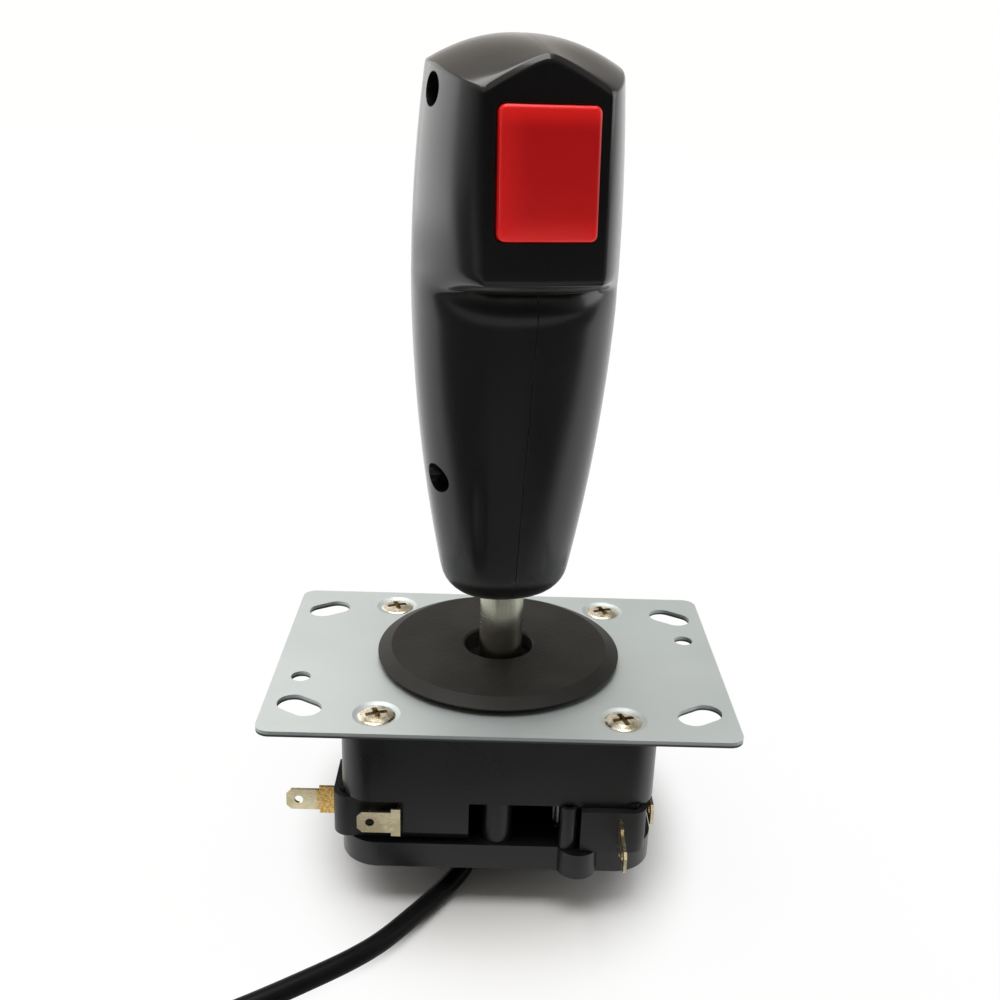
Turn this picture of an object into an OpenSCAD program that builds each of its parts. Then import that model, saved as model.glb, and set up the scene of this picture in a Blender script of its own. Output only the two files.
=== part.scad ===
// Arcade flight joystick: a trigger grip on a sprung, ball-pivoted shaft, over a square switch base.
// Frame: +Z up, X along the plate's long side, -Y towards the user, origin on the floor under the shaft.
// All lengths are in millimetres and all angles in degrees.

/* [Mounting plate] */
// Length of the plate along X
plate_w = 97; // [90:0.5:120]
// Depth of the plate along Y
plate_d = 65; // [62:0.5:80]
// Thickness of the plate
plate_t = 1.2; // [1:0.1:2]
// Corner radius of the plate
plate_corner_r = 3; // [1:0.5:5]
// Radius of the shaft opening in the plate
plate_hole_r = 10; // [9.6:0.1:11]
// Pitch of the four plate screws on a square
screw_pitch = 50; // [46:0.5:52]
// Distance of a slot's centre from the plate's end
slot_inset_x = 7.5; // [6.5:0.1:9]
// Distance of a slot's centre from the plate's long side
slot_inset_y = 10.1; // [8:0.1:12]
// Overall length of a mounting slot
slot_len = 10; // [8:0.5:12]
// Width of a mounting slot
slot_w = 6.4; // [4.5:0.1:7]
// Turn of a slot from the X axis
slot_turn = 32; // [0:1:45]
// Distance of a peg hole from the plate's end
peg_inset = 5.9; // [4.5:0.1:8]
// Distance of a peg hole from the shaft axis along Y
peg_hole_y = 10.5; // [8:0.1:12]
// Radius of a peg hole
peg_hole_r = 2.1; // [1.5:0.1:2.5]
// Outer radius of the pressed dimple round a plate screw
dimple_r = 4.9; // [4.6:0.1:5.6]
// Depth of the pressed dimple
dimple_depth = 0.4; // [0.2:0.1:0.8]

/* [Dust washer] */
// Outer radius of the washer
washer_r = 26.75; // [24:0.25:29]
// Thickness of the washer
washer_t = 2.9; // [2.2:0.1:3.4]
// Radius of the hole round the shaft
washer_hole_r = 7.6; // [7.6:0.1:9]
// Width of the bevelled rim
washer_bevel = 2.9; // [1:0.1:5]
// Height by which the rim clears the plate
washer_lift = 1.2; // [0.2:0.1:1.5]
// How far the loose washer lies behind the shaft axis
washer_offset = 1.7; // [0:0.1:1.8]
// How far the loose washer lies to the right of the shaft axis
washer_side = -0.4; // [-0.5:0.1:0.5]

/* [Base] */
// Width of the square housing
housing_w = 64; // [62:0.2:66]
// Corner radius of the housing
housing_corner_r = 6.5; // [3:0.5:9]
// Height of the housing above the switch bay
block_h = 14.9; // [13:0.1:20]
// Wall thickness of the housing
wall = 1.7; // [1.2:0.1:2.2]
// Thickness of the deck between the switch bay and the pockets
deck_t = 2.6; // [1.6:0.1:4]
// Radius of the tower round the pivot socket
tower_r = 15; // [14:0.5:18]
// Radius of the corner towers that take the plate screws
corner_tower_r = 4.4; // [3.5:0.1:5]
// Thickness of the ribs between the pockets
rib_t = 2; // [1:0.1:3]
// Height of the bottom plate
bottom_t = 5.7; // [4.5:0.1:8]
// How far the bottom plate stands out past the housing all round
bottom_margin = 0.2; // [0:0.1:1]
// Corner radius of the bottom plate
bottom_corner_r = 8; // [4:0.5:10]
// Thickness of the bottom plate's deck
bottom_deck_t = 2.6; // [1.6:0.1:3]
// Radius of the round lobe at each bottom screw
lobe_r = 4.3; // [4:0.1:4.6]
// Place of a lobe along its side
lobe_x = 16.6; // [16:0.1:17]
// Distance of a lobe's centre inside the bottom plate's side
lobe_inset = 1.5; // [1.2:0.1:2]
// Radius of a screw column
column_r = 2.05; // [1.9:0.05:2.2]
// Place of a screw column along its side
column_x = 14.5; // [14:0.1:15]
// Distance of a screw column's centre inside the housing's side
column_inset = 0.8; // [0.6:0.1:1.2]
// Radius of the guide post in each side opening
post_r = 3.25; // [2:0.05:3.5]
// Place of a guide post along its side
post_x = 0; // [-1:0.1:2]
// Distance of a guide post's centre inside the housing's side
post_inset = 3.6; // [3.4:0.1:4]

/* [Restrictor gate] */
// Height of the gate ring that the base stands on
gate_h = 9.5; // [7:0.1:14]
// Outer radius of the gate ring
gate_r = 18; // [17:0.2:19]
// Wall thickness of the gate ring
gate_wall = 3.4; // [2:0.1:4]
// Thickness of the gate's web, let into the bottom plate
gate_web = 2.4; // [1.6:0.1:2.8]

/* [Pivot] */
// Depth of the pivot below the top of the housing
pivot_drop = 6.8; // [6.4:0.1:7.2]
// Radius of the ball on the shaft
ball_r = 6; // [5.6:0.1:6.4]
// Thickness of the swivel liner round the ball
liner_t = 1.3; // [1:0.1:1.6]
// Half height of the swivel liner
liner_half_h = 3; // [2:0.1:3.2]
// Gap between the spherical faces
sphere_gap = 0.2; // [0.1:0.05:0.3]
// Radius of the pivot retainer
retainer_r = 12.2; // [11.5:0.1:12.8]
// Largest tilt of the stick each way
tilt_max = 8; // [4:0.5:8.5]

/* [Shaft and actuator] */
// Diameter of the shaft
shaft_d = 9.5; // [9:0.1:9.8]
// Diameter of the hole along the shaft
shaft_bore_d = 5.2; // [4.8:0.1:5.8]
// Width over the two flats inside the grip
shaft_flats = 8.2; // [7.8:0.1:8.8]
// Height of the shaft's lower end above the gate's web
shaft_end_gap = 2.1; // [1.8:0.1:3]
// Length of the shaft inside the grip
shaft_grip_l = 44; // [36:1:48]
// Height of the actuator's hub
actuator_h = 6.4; // [5.6:0.1:6.6]
// Height of the actuator's flange that works the levers
flange_h = 3.2; // [2:0.1:3.6]
// Mean radius of the return spring
spring_r = 7.6; // [7.4:0.1:7.7]
// Wire radius of the return spring
spring_wire_r = 0.55; // [0.4:0.05:0.6]
// Turns of the return spring
spring_turns = 5; // [3:1:7]
// Thickness of the retaining clip
clip_t = 0.8; // [0.5:0.1:1]

/* [Switches] */
// Length of a switch case
switch_l = 27.8; // [27.2:0.1:28.2]
// Width of a switch case
switch_w = 15.9; // [15.4:0.1:16.2]
// Thickness of a switch case
switch_t = 9.4; // [9:0.1:10.4]
// How far the end of a switch stands out of the housing
switch_proud = 1.6; // [1.2:0.1:2.2]
// Width of a terminal blade
tab_w = 4.8; // [4:0.1:5.5]
// Width of a terminal's shoulder
tab_shoulder_w = 6.4; // [5.6:0.1:7]
// Thickness of a terminal
tab_t = 0.6; // [0.4:0.1:0.8]
// Length of the terminal on the end of a switch
com_tab_l = 10.3; // [8:0.1:12]
// Length of the bent terminal on the back of a switch
no_tab_l = 8.8; // [7.5:0.1:9.4]
// Radius of a switch plunger
plunger_r = 1.2; // [0.8:0.1:1.3]
// Thickness of a switch lever
lever_t = 0.5; // [0.3:0.05:0.6]
// Height of a switch lever
lever_h = 4.2; // [3:0.1:4.4]

/* [Grip] */
// Height of the grip
grip_h = 111.6; // [104:0.2:122]
// Turn of the grip about the shaft
grip_turn = 12; // [0:1:20]
// Height of the grip's foot above the mounting plate
grip_clear = 17.4; // [12:0.5:20]
// Width of the grip at its foot, before rounding
foot_w = 24.4; // [22:0.2:28]
// Width of the grip at its widest
belly_w = 40; // [38:0.2:45]
// Height of the widest place
belly_h = 71.6; // [66:0.2:78]
// Width of the grip at the shoulders of the roof
crown_w = 36; // [34:0.2:39]
// Radius of the rounded foot
foot_round = 6; // [3:0.5:7]
// Reach of the grip's front at its foot
foot_front = 11; // [9:0.2:12]
// Reach of the grip's back at its foot
foot_back = 12; // [10:0.2:14]
// Reach of the grip's back at the widest place
belly_back = 18; // [16:0.5:22]
// Reach of the grip's front under the ledge
ledge_front = 22.7; // [21.5:0.1:23.5]
// Height of the ledge where the head steps out
ledge_h = 68.6; // [66:0.2:71]
// Depth of the hollow under the ledge
hollow_depth = 2.4; // [1:0.1:3]
// Height over which the front curves in to the hollow
hollow_h = 8; // [5:0.5:12]
// Reach of the flat face at the top of its gable
face_front = 22.7; // [22:0.1:24]
// Lean of the flat face
face_lean = 3.3; // [2:0.1:5]
// Width of the flat face
face_w = 21.8; // [21.4:0.2:24]
// Height of the slanted roof, from the face's upper corners to the crown
roof_h = 9.3; // [8:0.1:11]
// Height of the gable in the flat face
gable_h = 5.1; // [3:0.1:6]
// Wall thickness of the grip
grip_wall = 2.4; // [1.8:0.1:2.8]
// Width of the joint line between the halves
seam = 0.3; // [0.1:0.05:0.5]
// Radius of a screw recess in the flank
recess_r = 3; // [2.8:0.1:3.5]

/* [Trigger] */
// Width of the button
button_w = 17.6; // [16:0.2:18.4]
// Height of the button
button_h = 22.4; // [20:0.2:23]
// How far the button stands out of the face
button_proud = 2.6; // [2:0.1:4]
// Corner radius of the button
button_corner_r = 1.2; // [0.6:0.1:2]
// Travel of the button
button_travel = 1.5; // [0.8:0.1:1.8]
// Height of the trigger switch case along the face
trigger_switch_l = 19.8; // [18.5:0.1:20.5]
// Depth of the trigger switch case
trigger_switch_d = 10.2; // [9:0.1:10.6]
// Thickness of the trigger switch case
trigger_switch_t = 6.4; // [5.6:0.1:7]

/* [Cable] */
// Diameter of the cable
cable_d = 4; // [3:0.1:4.2]

/* [Hidden] */
$fn = 48;
// Gap between pieces that move against each other
run_gap = 0.35;
// Gap between pieces that are fixed to each other
seat_gap = 0.05;
// Length by which a cut runs past the face that it opens
over = 1;

// Places that follow the edges of the plate, the housing and the bottom plate
slot_pitch_x = plate_w - 2 * slot_inset_x;
slot_pitch_y = plate_d - 2 * slot_inset_y;
peg_hole_x = plate_w / 2 - peg_inset;
bottom_w = housing_w + 2 * bottom_margin;
lobe_y = bottom_w / 2 - lobe_inset;
column_y = housing_w / 2 - column_inset;
post_y = housing_w / 2 - post_inset;

// Heights of the stack, from the floor up
bay_gap = 0.15;
z_bay = gate_h + bottom_t;
z_switch = z_bay + bay_gap;
z_block = z_switch + switch_t + bay_gap;
z_plate = z_block + block_h;
z_top = z_plate + plate_t;
z_pivot = z_plate - pivot_drop;
z_grip = z_top + grip_clear;
z_web = gate_h + gate_web;
z_shaft_end = z_web - gate_web + shaft_end_gap;
z_shaft_top = z_grip + shaft_grip_l;
z_switch_mid = z_switch + switch_t / 2;
shaft_r = shaft_d / 2;
cable_r = cable_d / 2;

// Switch places, in the frame of one switch: x from its outer end, y from its back to its plunger side
switch_x = -housing_w / 2 - switch_proud;
switch_y = -housing_w / 2 + wall;
tab_rise = 0.1;
tab_hole_r = 0.9;
com_tab_y = 5.5;
com_shoulder_l = 3.4;
no_tab_x = 14;
no_tab_out = 1.7;
no_shoulder_l = 1.9;
step_x = column_r - column_y + run_gap - switch_x;
step_y = -column_x - column_r - run_gap - switch_y;
switch_corner_r = 3;
pin_r = 1.4;
pin_places = [[2.8, 2.9], [25, 13]];
plunger_x = 21.1;
plunger_out = 1.95;
plunger_in = 3;
hinge_x = 6.7;
hinge_y = switch_w + 1.5;
hinge_eye_r = 1.05;
hinge_pin_r = 0.5;
lever_y = switch_w + plunger_out + run_gap;
lever_end = -switch_x - 1;
lever_face = -switch_y - lever_y - lever_t;
lever_gap = 0.6;

// Pivot and actuator
liner_r = ball_r + sphere_gap + liner_t;
socket_r = liner_r + sphere_gap;
socket_mouth_r = 6.6;
socket_mouth_h = sqrt(pow(socket_r, 2) - pow(socket_mouth_r, 2));
retainer_gap = 0.3;
retainer_h = 5.6;
z_retainer = z_pivot - retainer_gap - retainer_h;
spring_seat_r = spring_r + spring_wire_r + run_gap;
spring_well_r = spring_r - spring_wire_r - run_gap + 0.1;
spring_seat_depth = 1.2;
actuator_r = lever_face - lever_gap;
z_flange = z_switch_mid - flange_h / 2;
z_actuator = z_flange - 1.2;
hub_r = 9.6;
actuator_floor = 1.2;
z_spring = z_actuator + actuator_floor;
spring_top = z_retainer + spring_seat_depth;
clip_groove = 0.8;
clip_r = 7.4;

// Restrictor: the opening stops the shaft at the largest tilt
gate_open = shaft_r / cos(tilt_max) + (z_pivot - gate_h) * sin(tilt_max) + run_gap;
gate_open_corner = 3;
bottom_open_r = 14.2;
notch_w = 7.2;
notch_h = 5.6;
cable_turn = 253.3;

// Plate screw sizes
head_r = 3.8;
shank_r = 1.6;
screw_len = 12;
dimple_floor_r = head_r + 0.25;
bottom_shank_r = 1.15;
bottom_head_r = 1.8;
bottom_head_t = 1.6;
bottom_screw_l = 11;

// Grip sections: front, back and side reach at a height, before any inset
crown_h = grip_h;
eave_h = grip_h - roof_h;
peak_h = eave_h + gable_h;
shoulder_h = grip_h - 6;
ledge_rise = 1.4;
flank_rise = 8;
hollow_power = 2.5;
mid_low = 1;
mid_rise = 3;
face_points = 6;
flank_points = 10;
back_points = 12;
round_power = 2.1;
flank_power = 1.45;
back_power = 2.2;
roof_power = 2;
front_turn = 35;
ridge_half = 0.6;
seam_half = seam / 2;
cavity_low = 38;
recess_depth = 9;
grip_screw_places = [[7.2, 28.4], [8.6, eave_h - 0.8]];
grip_screw_r = 1.5;
cavity_high = grip_screw_places[1][1] - recess_r - 1.8;
button_mid = eave_h - 2.7 - button_h / 2;
button_gap = run_gap;
flange_side = 0.8;
flange_t = 1.2;
trigger_stem_r = 2;
trigger_stem_l = 2.2;
trigger_plunger_r = 1;
trigger_plunger_out = 1.9;
trigger_pin_r = 1.1;
trigger_switch_drop = button_mid + trigger_switch_l / 2 + 2 * run_gap - cavity_high;
trigger_pins = [for (z = [-6, 6]) z - trigger_switch_drop];

// Cable route over the floor to its coil, and the loose end inside the coil
cable_sides = 10;
route_out = [
    [-3.9, -13, 2.1], [-5.4, -18, 2.1], [-7.2, -23.5, 2], [-9.6, -28, 2], [-12.3, -32.2, 2],
    [-17, -38.8, 2], [-22.3, -45.6, 2], [-28.4, -51.2, 2], [-35, -56, 2], [-42.6, -61.2, 2],
    [-50, -66, 2], [-57, -71, 2], [-63.4, -76.6, 2.2], [-68.8, -82.6, 2.5], [-72.4, -88, 2.8],
    [-74, -93, 2.9]
];
route_end = [
    [-50, -73, 2.9], [-53.4, -73.7, 2.8], [-56.4, -75.6, 2.6], [-58.3, -78.6, 2.4], [-59, -82, 2.2],
    [-59, -86, 2.2]
];
coil_at = [-50, -93];
coil_r = 22;
coil_lift = 0.9;
tie_t = 0.8;
tie_turn = 300;
tie_angle = 7;
connector_size = [8, 12, 6];
bend_r = 2 * cable_d;

black = "#1b1d1f";
steel = "#c6cdd0";
nickel = "#b9b4a6";
brass = "#cdbb7a";
nylon = "#e8e6dc";
red = "#cc1c20";

// A rectangle with round corners
module rounded_rect(w, d, r) {
    square([w - 2 * r, d], center = true);
    square([w, d - 2 * r], center = true);
    for (x = [-1, 1], y = [-1, 1])
        translate([x * (w / 2 - r), y * (d / 2 - r)]) circle(r);
}

// A slot with round ends along X
module obround(len, w) {
    square([len - w, w], center = true);
    for (x = [-1, 1]) translate([x * (len - w) / 2, 0]) circle(w / 2);
}

// The four corners of a square, each turned so that its own shape faces outwards
module at_square(pitch) {
    for (x = [-1, 1], y = [-1, 1]) translate([x * pitch / 2, y * pitch / 2, 0]) children();
}

// A round tube swept along points, with its rings squared to a reference direction
function unit(v) = v / norm(v);
function along(pts, i) = unit(pts[min(i + 1, len(pts) - 1)] - pts[max(i - 1, 0)]);
function ring(pts, i, r, sides, ref) =
    let (t = along(pts, i), a = unit(cross(t, ref)), b = cross(t, a))
    [for (k = [0 : sides - 1]) pts[i] + r * (cos(360 * k / sides) * a + sin(360 * k / sides) * b)];
module tube(pts, r, sides, ref = [0, 0, 1]) {
    n = len(pts);
    verts = [for (i = [0 : n - 1]) each ring(pts, i, r, sides, ref)];
    walls = [for (i = [0 : n - 2], k = [0 : sides - 1])
        let (a = i * sides + k, b = i * sides + (k + 1) % sides)
        each [[a, b + sides, b], [a, a + sides, b + sides]]];
    first = [for (k = [0 : sides - 1]) k];
    last = [for (k = [sides - 1 : -1 : 0]) (n - 1) * sides + k];
    polyhedron(verts, concat(walls, [first, last]));
}

// Plate: pressed sheet with dimples for the countersunk screws
module mounting_plate() color(steel) translate([0, 0, z_plate]) {
    linear_extrude(plate_t) difference() {
        rounded_rect(plate_w, plate_d, plate_corner_r);
        circle(plate_hole_r);
        at_square(screw_pitch) circle(dimple_r);
        for (x = [-1, 1], y = [-1, 1])
            translate([x * slot_pitch_x / 2, y * slot_pitch_y / 2]) rotate(-x * y * slot_turn)
                obround(slot_len, slot_w);
        for (s = [-1, 1]) translate([s * peg_hole_x, s * peg_hole_y]) circle(peg_hole_r);
    }
    at_square(screw_pitch) rotate_extrude() polygon([
        [dimple_r, plate_t], [dimple_floor_r, plate_t - dimple_depth], [head_r + seat_gap, plate_t - dimple_depth],
        [shank_r + 0.6, 0.2 - dimple_depth], [shank_r + 0.6, -dimple_depth], [dimple_floor_r, -dimple_depth],
        [dimple_r, 0]
    ]);
}

// Plate screws: oval countersunk heads with a cross recess
module plate_screw() {
    seat = plate_t - dimple_depth;
    cone = seat + dimple_depth - 0.2;
    difference() {
        union() {
            rotate_extrude() polygon([[0, seat + 0.8], [head_r * 0.55, seat + 0.65], [head_r * 0.9, seat + 0.3],
                [head_r, seat + 0.1], [head_r, seat], [shank_r + 0.5, seat - cone], [0, seat - cone]]);
            translate([0, 0, seat - screw_len]) cylinder(h = screw_len - cone + seat_gap, r = shank_r);
        }
        for (turn = [0, 90]) rotate(turn + 20) translate([-head_r * 0.6, -0.55, seat - 0.5])
            cube([head_r * 1.2, 1.1, 2]);
    }
}
module plate_screws() color(nickel) translate([0, 0, z_plate]) at_square(screw_pitch) plate_screw();

// Washer: moulded disc with a bevelled rim, lying loose on the plate
module dust_washer() color(black) translate([washer_side, washer_offset, z_top + 0.12]) rotate_extrude() polygon([
    [washer_hole_r, 0], [washer_r - washer_bevel - 1, 0], [washer_r - 0.2, washer_lift - 0.1],
    [washer_r, washer_lift], [washer_r, washer_lift + 0.3], [washer_r - washer_bevel, washer_t],
    [washer_hole_r + 0.4, washer_t], [washer_hole_r, washer_t - 0.4]
]);

// Switch frame: the same switch stands on each side, a quarter turn apart
module at_switch(side) rotate(90 * side) translate([switch_x, switch_y, z_switch]) children();
module at_sides() for (side = [0 : 3]) rotate(90 * side) children();

// Housing: pocketed block with a ball socket, and below it walls, posts and columns round the switches
module housing_pockets() difference() {
    rounded_rect(housing_w - 2 * wall, housing_w - 2 * wall, housing_corner_r - wall);
    circle(tower_r);
    at_square(screw_pitch) circle(corner_tower_r);
    for (turn = [0, 90]) rotate(turn) square([housing_w, rib_t], center = true);
}
module housing_side() {
    wall_x = switch_x + no_tab_x + 0.6;
    translate([wall_x, -housing_w / 2, z_bay + 2.5])
        cube([switch_x + switch_l - wall_x, wall - bay_gap, z_block - z_bay - 2]);
    translate([post_x, -post_y, z_bay]) cylinder(h = z_block - z_bay + 0.5, r = post_r);
    translate([column_x, -column_y, z_bay]) cylinder(h = z_block - z_bay + 0.1, r = column_r);
}
module housing() color(black) difference() {
    union() {
        difference() {
            translate([0, 0, z_block]) linear_extrude(block_h)
                rounded_rect(housing_w, housing_w, housing_corner_r);
            translate([0, 0, z_block + deck_t]) linear_extrude(block_h) housing_pockets();
        }
        at_sides() housing_side();
        for (side = [0 : 3], p = pin_places)
            at_switch(side) translate([p[0], p[1], 1]) cylinder(h = switch_t, r = pin_r);
    }
    translate([0, 0, z_pivot]) sphere(socket_r);
    translate([0, 0, z_pivot + socket_mouth_h]) cylinder(h = block_h, r1 = socket_mouth_r, r2 = socket_mouth_r + 8);
    translate([0, 0, z_block - over]) cylinder(h = z_pivot - retainer_gap / 2 - z_block + over, r = retainer_r + seat_gap);
    at_square(screw_pitch) translate([0, 0, z_plate]) {
        translate([0, 0, -dimple_depth - 0.1]) cylinder(h = block_h, r = dimple_r + 0.2);
        translate([0, 0, -screw_len - 0.5]) cylinder(h = screw_len + over, r = shank_r + seat_gap);
    }
    at_sides() translate([column_x, -column_y, z_bay - over])
        cylinder(h = bottom_screw_l, r = bottom_shank_r + seat_gap);
}

// Retainer: ring that closes the ball socket from below and carries the top of the spring
module pivot_retainer() color(nylon) difference() {
    translate([0, 0, z_retainer]) cylinder(h = retainer_h, r = retainer_r);
    translate([0, 0, z_pivot]) sphere(socket_r);
    translate([0, 0, z_retainer - over]) cylinder(h = retainer_h, r = socket_mouth_r);
    translate([0, 0, z_retainer - over]) cylinder(h = spring_seat_depth + over, r = spring_seat_r);
}

// Bottom plate: ribbed tray with a lobe at each screw and a recess for the gate
module bottom_outline() {
    rounded_rect(bottom_w, bottom_w, bottom_corner_r);
    at_sides() translate([lobe_x, -lobe_y]) circle(lobe_r);
}
module bottom_pockets() difference() {
    rounded_rect(bottom_w - 2 * wall, bottom_w - 2 * wall, bottom_corner_r - wall);
    circle(gate_r + wall);
    at_sides() translate([lobe_x, -lobe_y]) circle(lobe_r);
    for (turn = [0, 90]) rotate(turn) square([housing_w, rib_t], center = true);
}
module bottom_plate() color(black) difference() {
    translate([0, 0, gate_h]) linear_extrude(bottom_t) bottom_outline();
    translate([0, 0, gate_h - over]) linear_extrude(bottom_t - bottom_deck_t + over) bottom_pockets();
    translate([0, 0, gate_h - over]) cylinder(h = gate_web + over, r = gate_r + seat_gap);
    translate([0, 0, gate_h]) cylinder(h = bottom_t + over, r = bottom_open_r);
    at_sides() translate([column_x, -column_y, gate_h - over]) {
        cylinder(h = bottom_t + 2 * over, r = bottom_shank_r + seat_gap);
        cylinder(h = bottom_head_t + over, r = bottom_head_r + seat_gap);
    }
}
module bottom_screw() {
    cylinder(h = bottom_head_t, r = bottom_head_r);
    cylinder(h = bottom_screw_l, r = bottom_shank_r);
}
module bottom_screws() color(nickel) at_sides() translate([column_x, -column_y, gate_h])
    difference() {
        bottom_screw();
        for (turn = [0, 90]) rotate(turn) translate([-bottom_head_r * 0.7, -0.35, -over])
            cube([bottom_head_r * 1.4, 0.7, over + 0.8]);
    }

// Gate: foot ring with a square opening that stops the shaft, and a notch for the cable
module restrictor_gate() color(black) difference() {
    union() {
        difference() {
            cylinder(h = gate_h, r = gate_r);
            translate([0, 0, -over]) cylinder(h = gate_h + over, r = gate_r - gate_wall);
        }
        translate([0, 0, gate_h]) cylinder(h = gate_web, r = gate_r);
    }
    translate([0, 0, gate_h - over]) linear_extrude(gate_web + 2 * over)
        rounded_rect(2 * gate_open, 2 * gate_open, gate_open_corner);
    rotate(cable_turn) translate([gate_r - gate_wall - over, -notch_w / 2, -over])
        cube([gate_wall + 2 * over, notch_w, notch_h + over]);
}

// Grommet: soft bush that holds the cable in the gate's notch
module cable_grommet() color(black) rotate(cable_turn) difference() {
    union() {
        translate([gate_r - gate_wall, -notch_w / 2 + seat_gap, 0])
            cube([gate_wall, notch_w - 2 * seat_gap, notch_h - seat_gap]);
        translate([gate_r, 0, notch_h / 2]) rotate([0, 90, 0]) cylinder(h = 1.2, r = notch_h / 2);
    }
    translate([gate_r - gate_wall - over, 0, route_out[0][2]]) rotate([0, 90, 0])
        cylinder(h = gate_wall + 4 * over, r = cable_r + seat_gap);
}

// Switch: a flat case on two pins, with a hinged lever over its plunger
module switch_case() color(black) {
    difference() {
        linear_extrude(switch_t) {
            translate([switch_corner_r, 0]) square([switch_l - switch_corner_r, switch_w]);
            translate([0, switch_corner_r]) square([switch_l, switch_w - switch_corner_r]);
            translate([switch_corner_r, switch_corner_r]) circle(switch_corner_r);
        }
        translate([-over, step_y, -over]) cube([step_x + over, switch_w, switch_t + 2 * over]);
        for (p = pin_places) translate([p[0], p[1], -over]) cylinder(h = switch_t + 2 * over, r = pin_r + 0.15);
        translate([plunger_x, switch_w + over, switch_t / 2]) rotate([90, 0, 0])
            cylinder(h = plunger_in + 3 + over, r = plunger_r + run_gap);
        translate([-over, com_tab_y - tab_t / 2, switch_t / 2 + tab_rise - tab_w / 2])
            cube([3 + over, tab_t, tab_w]);
        translate([no_tab_x - tab_t, -over, switch_t / 2 + tab_rise - tab_w / 2]) cube([tab_t, 3 + over, tab_w]);
    }
    ear_z = lever_h / 2 + run_gap;
    for (side = [-1, 1])
        translate([hinge_x - 1.2, switch_w - 0.2, switch_t / 2 + side * (ear_z + 0.35) - 0.35])
            cube([2.4, hinge_y - switch_w + 1.1, 0.7]);
    translate([hinge_x, hinge_y, switch_t / 2 - ear_z - 0.5]) cylinder(h = 2 * ear_z + 1, r = hinge_pin_r);
}

// Terminals: flat blades with a shoulder, chamfered tip and hole
module tab_outline(len, shoulder_l) difference() {
    polygon([
        [0, -tab_shoulder_w / 2], [-shoulder_l, -tab_shoulder_w / 2], [-shoulder_l, -tab_w / 2],
        [1 - len, -tab_w / 2], [-len, 1 - tab_w / 2], [-len, tab_w / 2 - 1], [1 - len, tab_w / 2],
        [-shoulder_l, tab_w / 2], [-shoulder_l, tab_shoulder_w / 2], [0, tab_shoulder_w / 2]
    ]);
    translate([2.6 - len, 0]) circle(tab_hole_r);
}
module upright_tab(len, shoulder_l)
    translate([0, tab_t / 2, 0]) rotate([90, 0, 0]) linear_extrude(tab_t) tab_outline(len, shoulder_l);
module switch_terminals() color(brass) translate([0, 0, switch_t / 2 + tab_rise]) {
    translate([0, com_tab_y, 0]) {
        upright_tab(com_tab_l, com_shoulder_l);
        translate([-0.2, -tab_t / 2, -tab_w / 2]) cube([3, tab_t, tab_w]);
    }
    translate([no_tab_x, -no_tab_out, 0]) {
        upright_tab(no_tab_l, no_shoulder_l);
        translate([-tab_t, -tab_t / 2, -tab_shoulder_w / 2]) cube([tab_t, no_tab_out + tab_t / 2, tab_shoulder_w]);
        translate([-tab_t, 0, -tab_w / 2]) cube([tab_t, no_tab_out + 2.8, tab_w]);
    }
}
module switch_lever() color(nickel) translate([0, 0, (switch_t - lever_h) / 2]) difference() {
    union() {
        translate([hinge_x, hinge_y, 0]) cylinder(h = lever_h, r = hinge_eye_r);
        translate([hinge_x, lever_y, 0]) cube([lever_end - hinge_x, lever_t, lever_h]);
    }
    translate([hinge_x, hinge_y, -over]) cylinder(h = lever_h + 2 * over, r = hinge_pin_r + 0.1);
}
module switch_plunger() color(red) translate([plunger_x, switch_w + plunger_out, switch_t / 2])
    rotate([90, 0, 0]) cylinder(h = plunger_out + plunger_in, r = plunger_r);

// Pivot: swivel liner round the ball, and the spring that centres the stick
module pivot_liner() color(nylon) translate([0, 0, z_pivot]) rotate_extrude() intersection() {
    difference() {
        circle(liner_r);
        circle(ball_r + sphere_gap);
    }
    translate([0, -liner_half_h]) square([liner_r + over, 2 * liner_half_h]);
}
module return_spring() color(nickel) {
    steps = 14 * spring_turns;
    low = z_spring + spring_wire_r + seat_gap;
    rise = spring_top - z_spring - 2 * (spring_wire_r + seat_gap);
    points = [for (i = [0 : steps])
        let (a = 360 * spring_turns * i / steps)
        [spring_r * cos(a), spring_r * sin(a), low + rise * i / steps]];
    tube(points, spring_wire_r, 8);
}

// Shaft: hollow rod with a clip groove, and two flats inside the grip
module shaft() color(nickel) difference() {
    translate([0, 0, z_shaft_end]) cylinder(h = z_shaft_top - z_shaft_end, r = shaft_r);
    translate([0, 0, z_shaft_end - over]) cylinder(h = z_shaft_top - z_shaft_end + 2 * over, r = shaft_bore_d / 2);
    translate([0, 0, z_actuator - clip_t - seat_gap]) difference() {
        cylinder(h = clip_t, r = shaft_r + over);
        translate([0, 0, -over]) cylinder(h = clip_t + 2 * over, r = shaft_r - clip_groove);
    }
    rotate(grip_turn) for (side = [-1, 1])
        translate([side * (shaft_flats / 2 + shaft_r), 0, z_shaft_top - (shaft_grip_l - 10) / 2 + over / 2])
            cube([2 * shaft_r, 2 * shaft_d, shaft_grip_l - 10 + over], center = true);
}
module pivot_ball() color(nylon) translate([0, 0, z_pivot]) difference() {
    sphere(ball_r);
    translate([0, 0, -ball_r - over]) cylinder(h = 2 * (ball_r + over), r = shaft_r + seat_gap);
}
module actuator() color(black) translate([0, 0, z_actuator]) difference() {
    union() {
        cylinder(h = actuator_h, r = hub_r);
        translate([0, 0, z_flange - z_actuator]) cylinder(h = flange_h, r = actuator_r);
    }
    translate([0, 0, -over]) cylinder(h = actuator_h + 2 * over, r = shaft_r + seat_gap);
    translate([0, 0, actuator_floor]) difference() {
        cylinder(h = actuator_h, r = spring_seat_r);
        translate([0, 0, -over]) cylinder(h = actuator_h + 2 * over, r = spring_well_r);
    }
}
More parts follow.
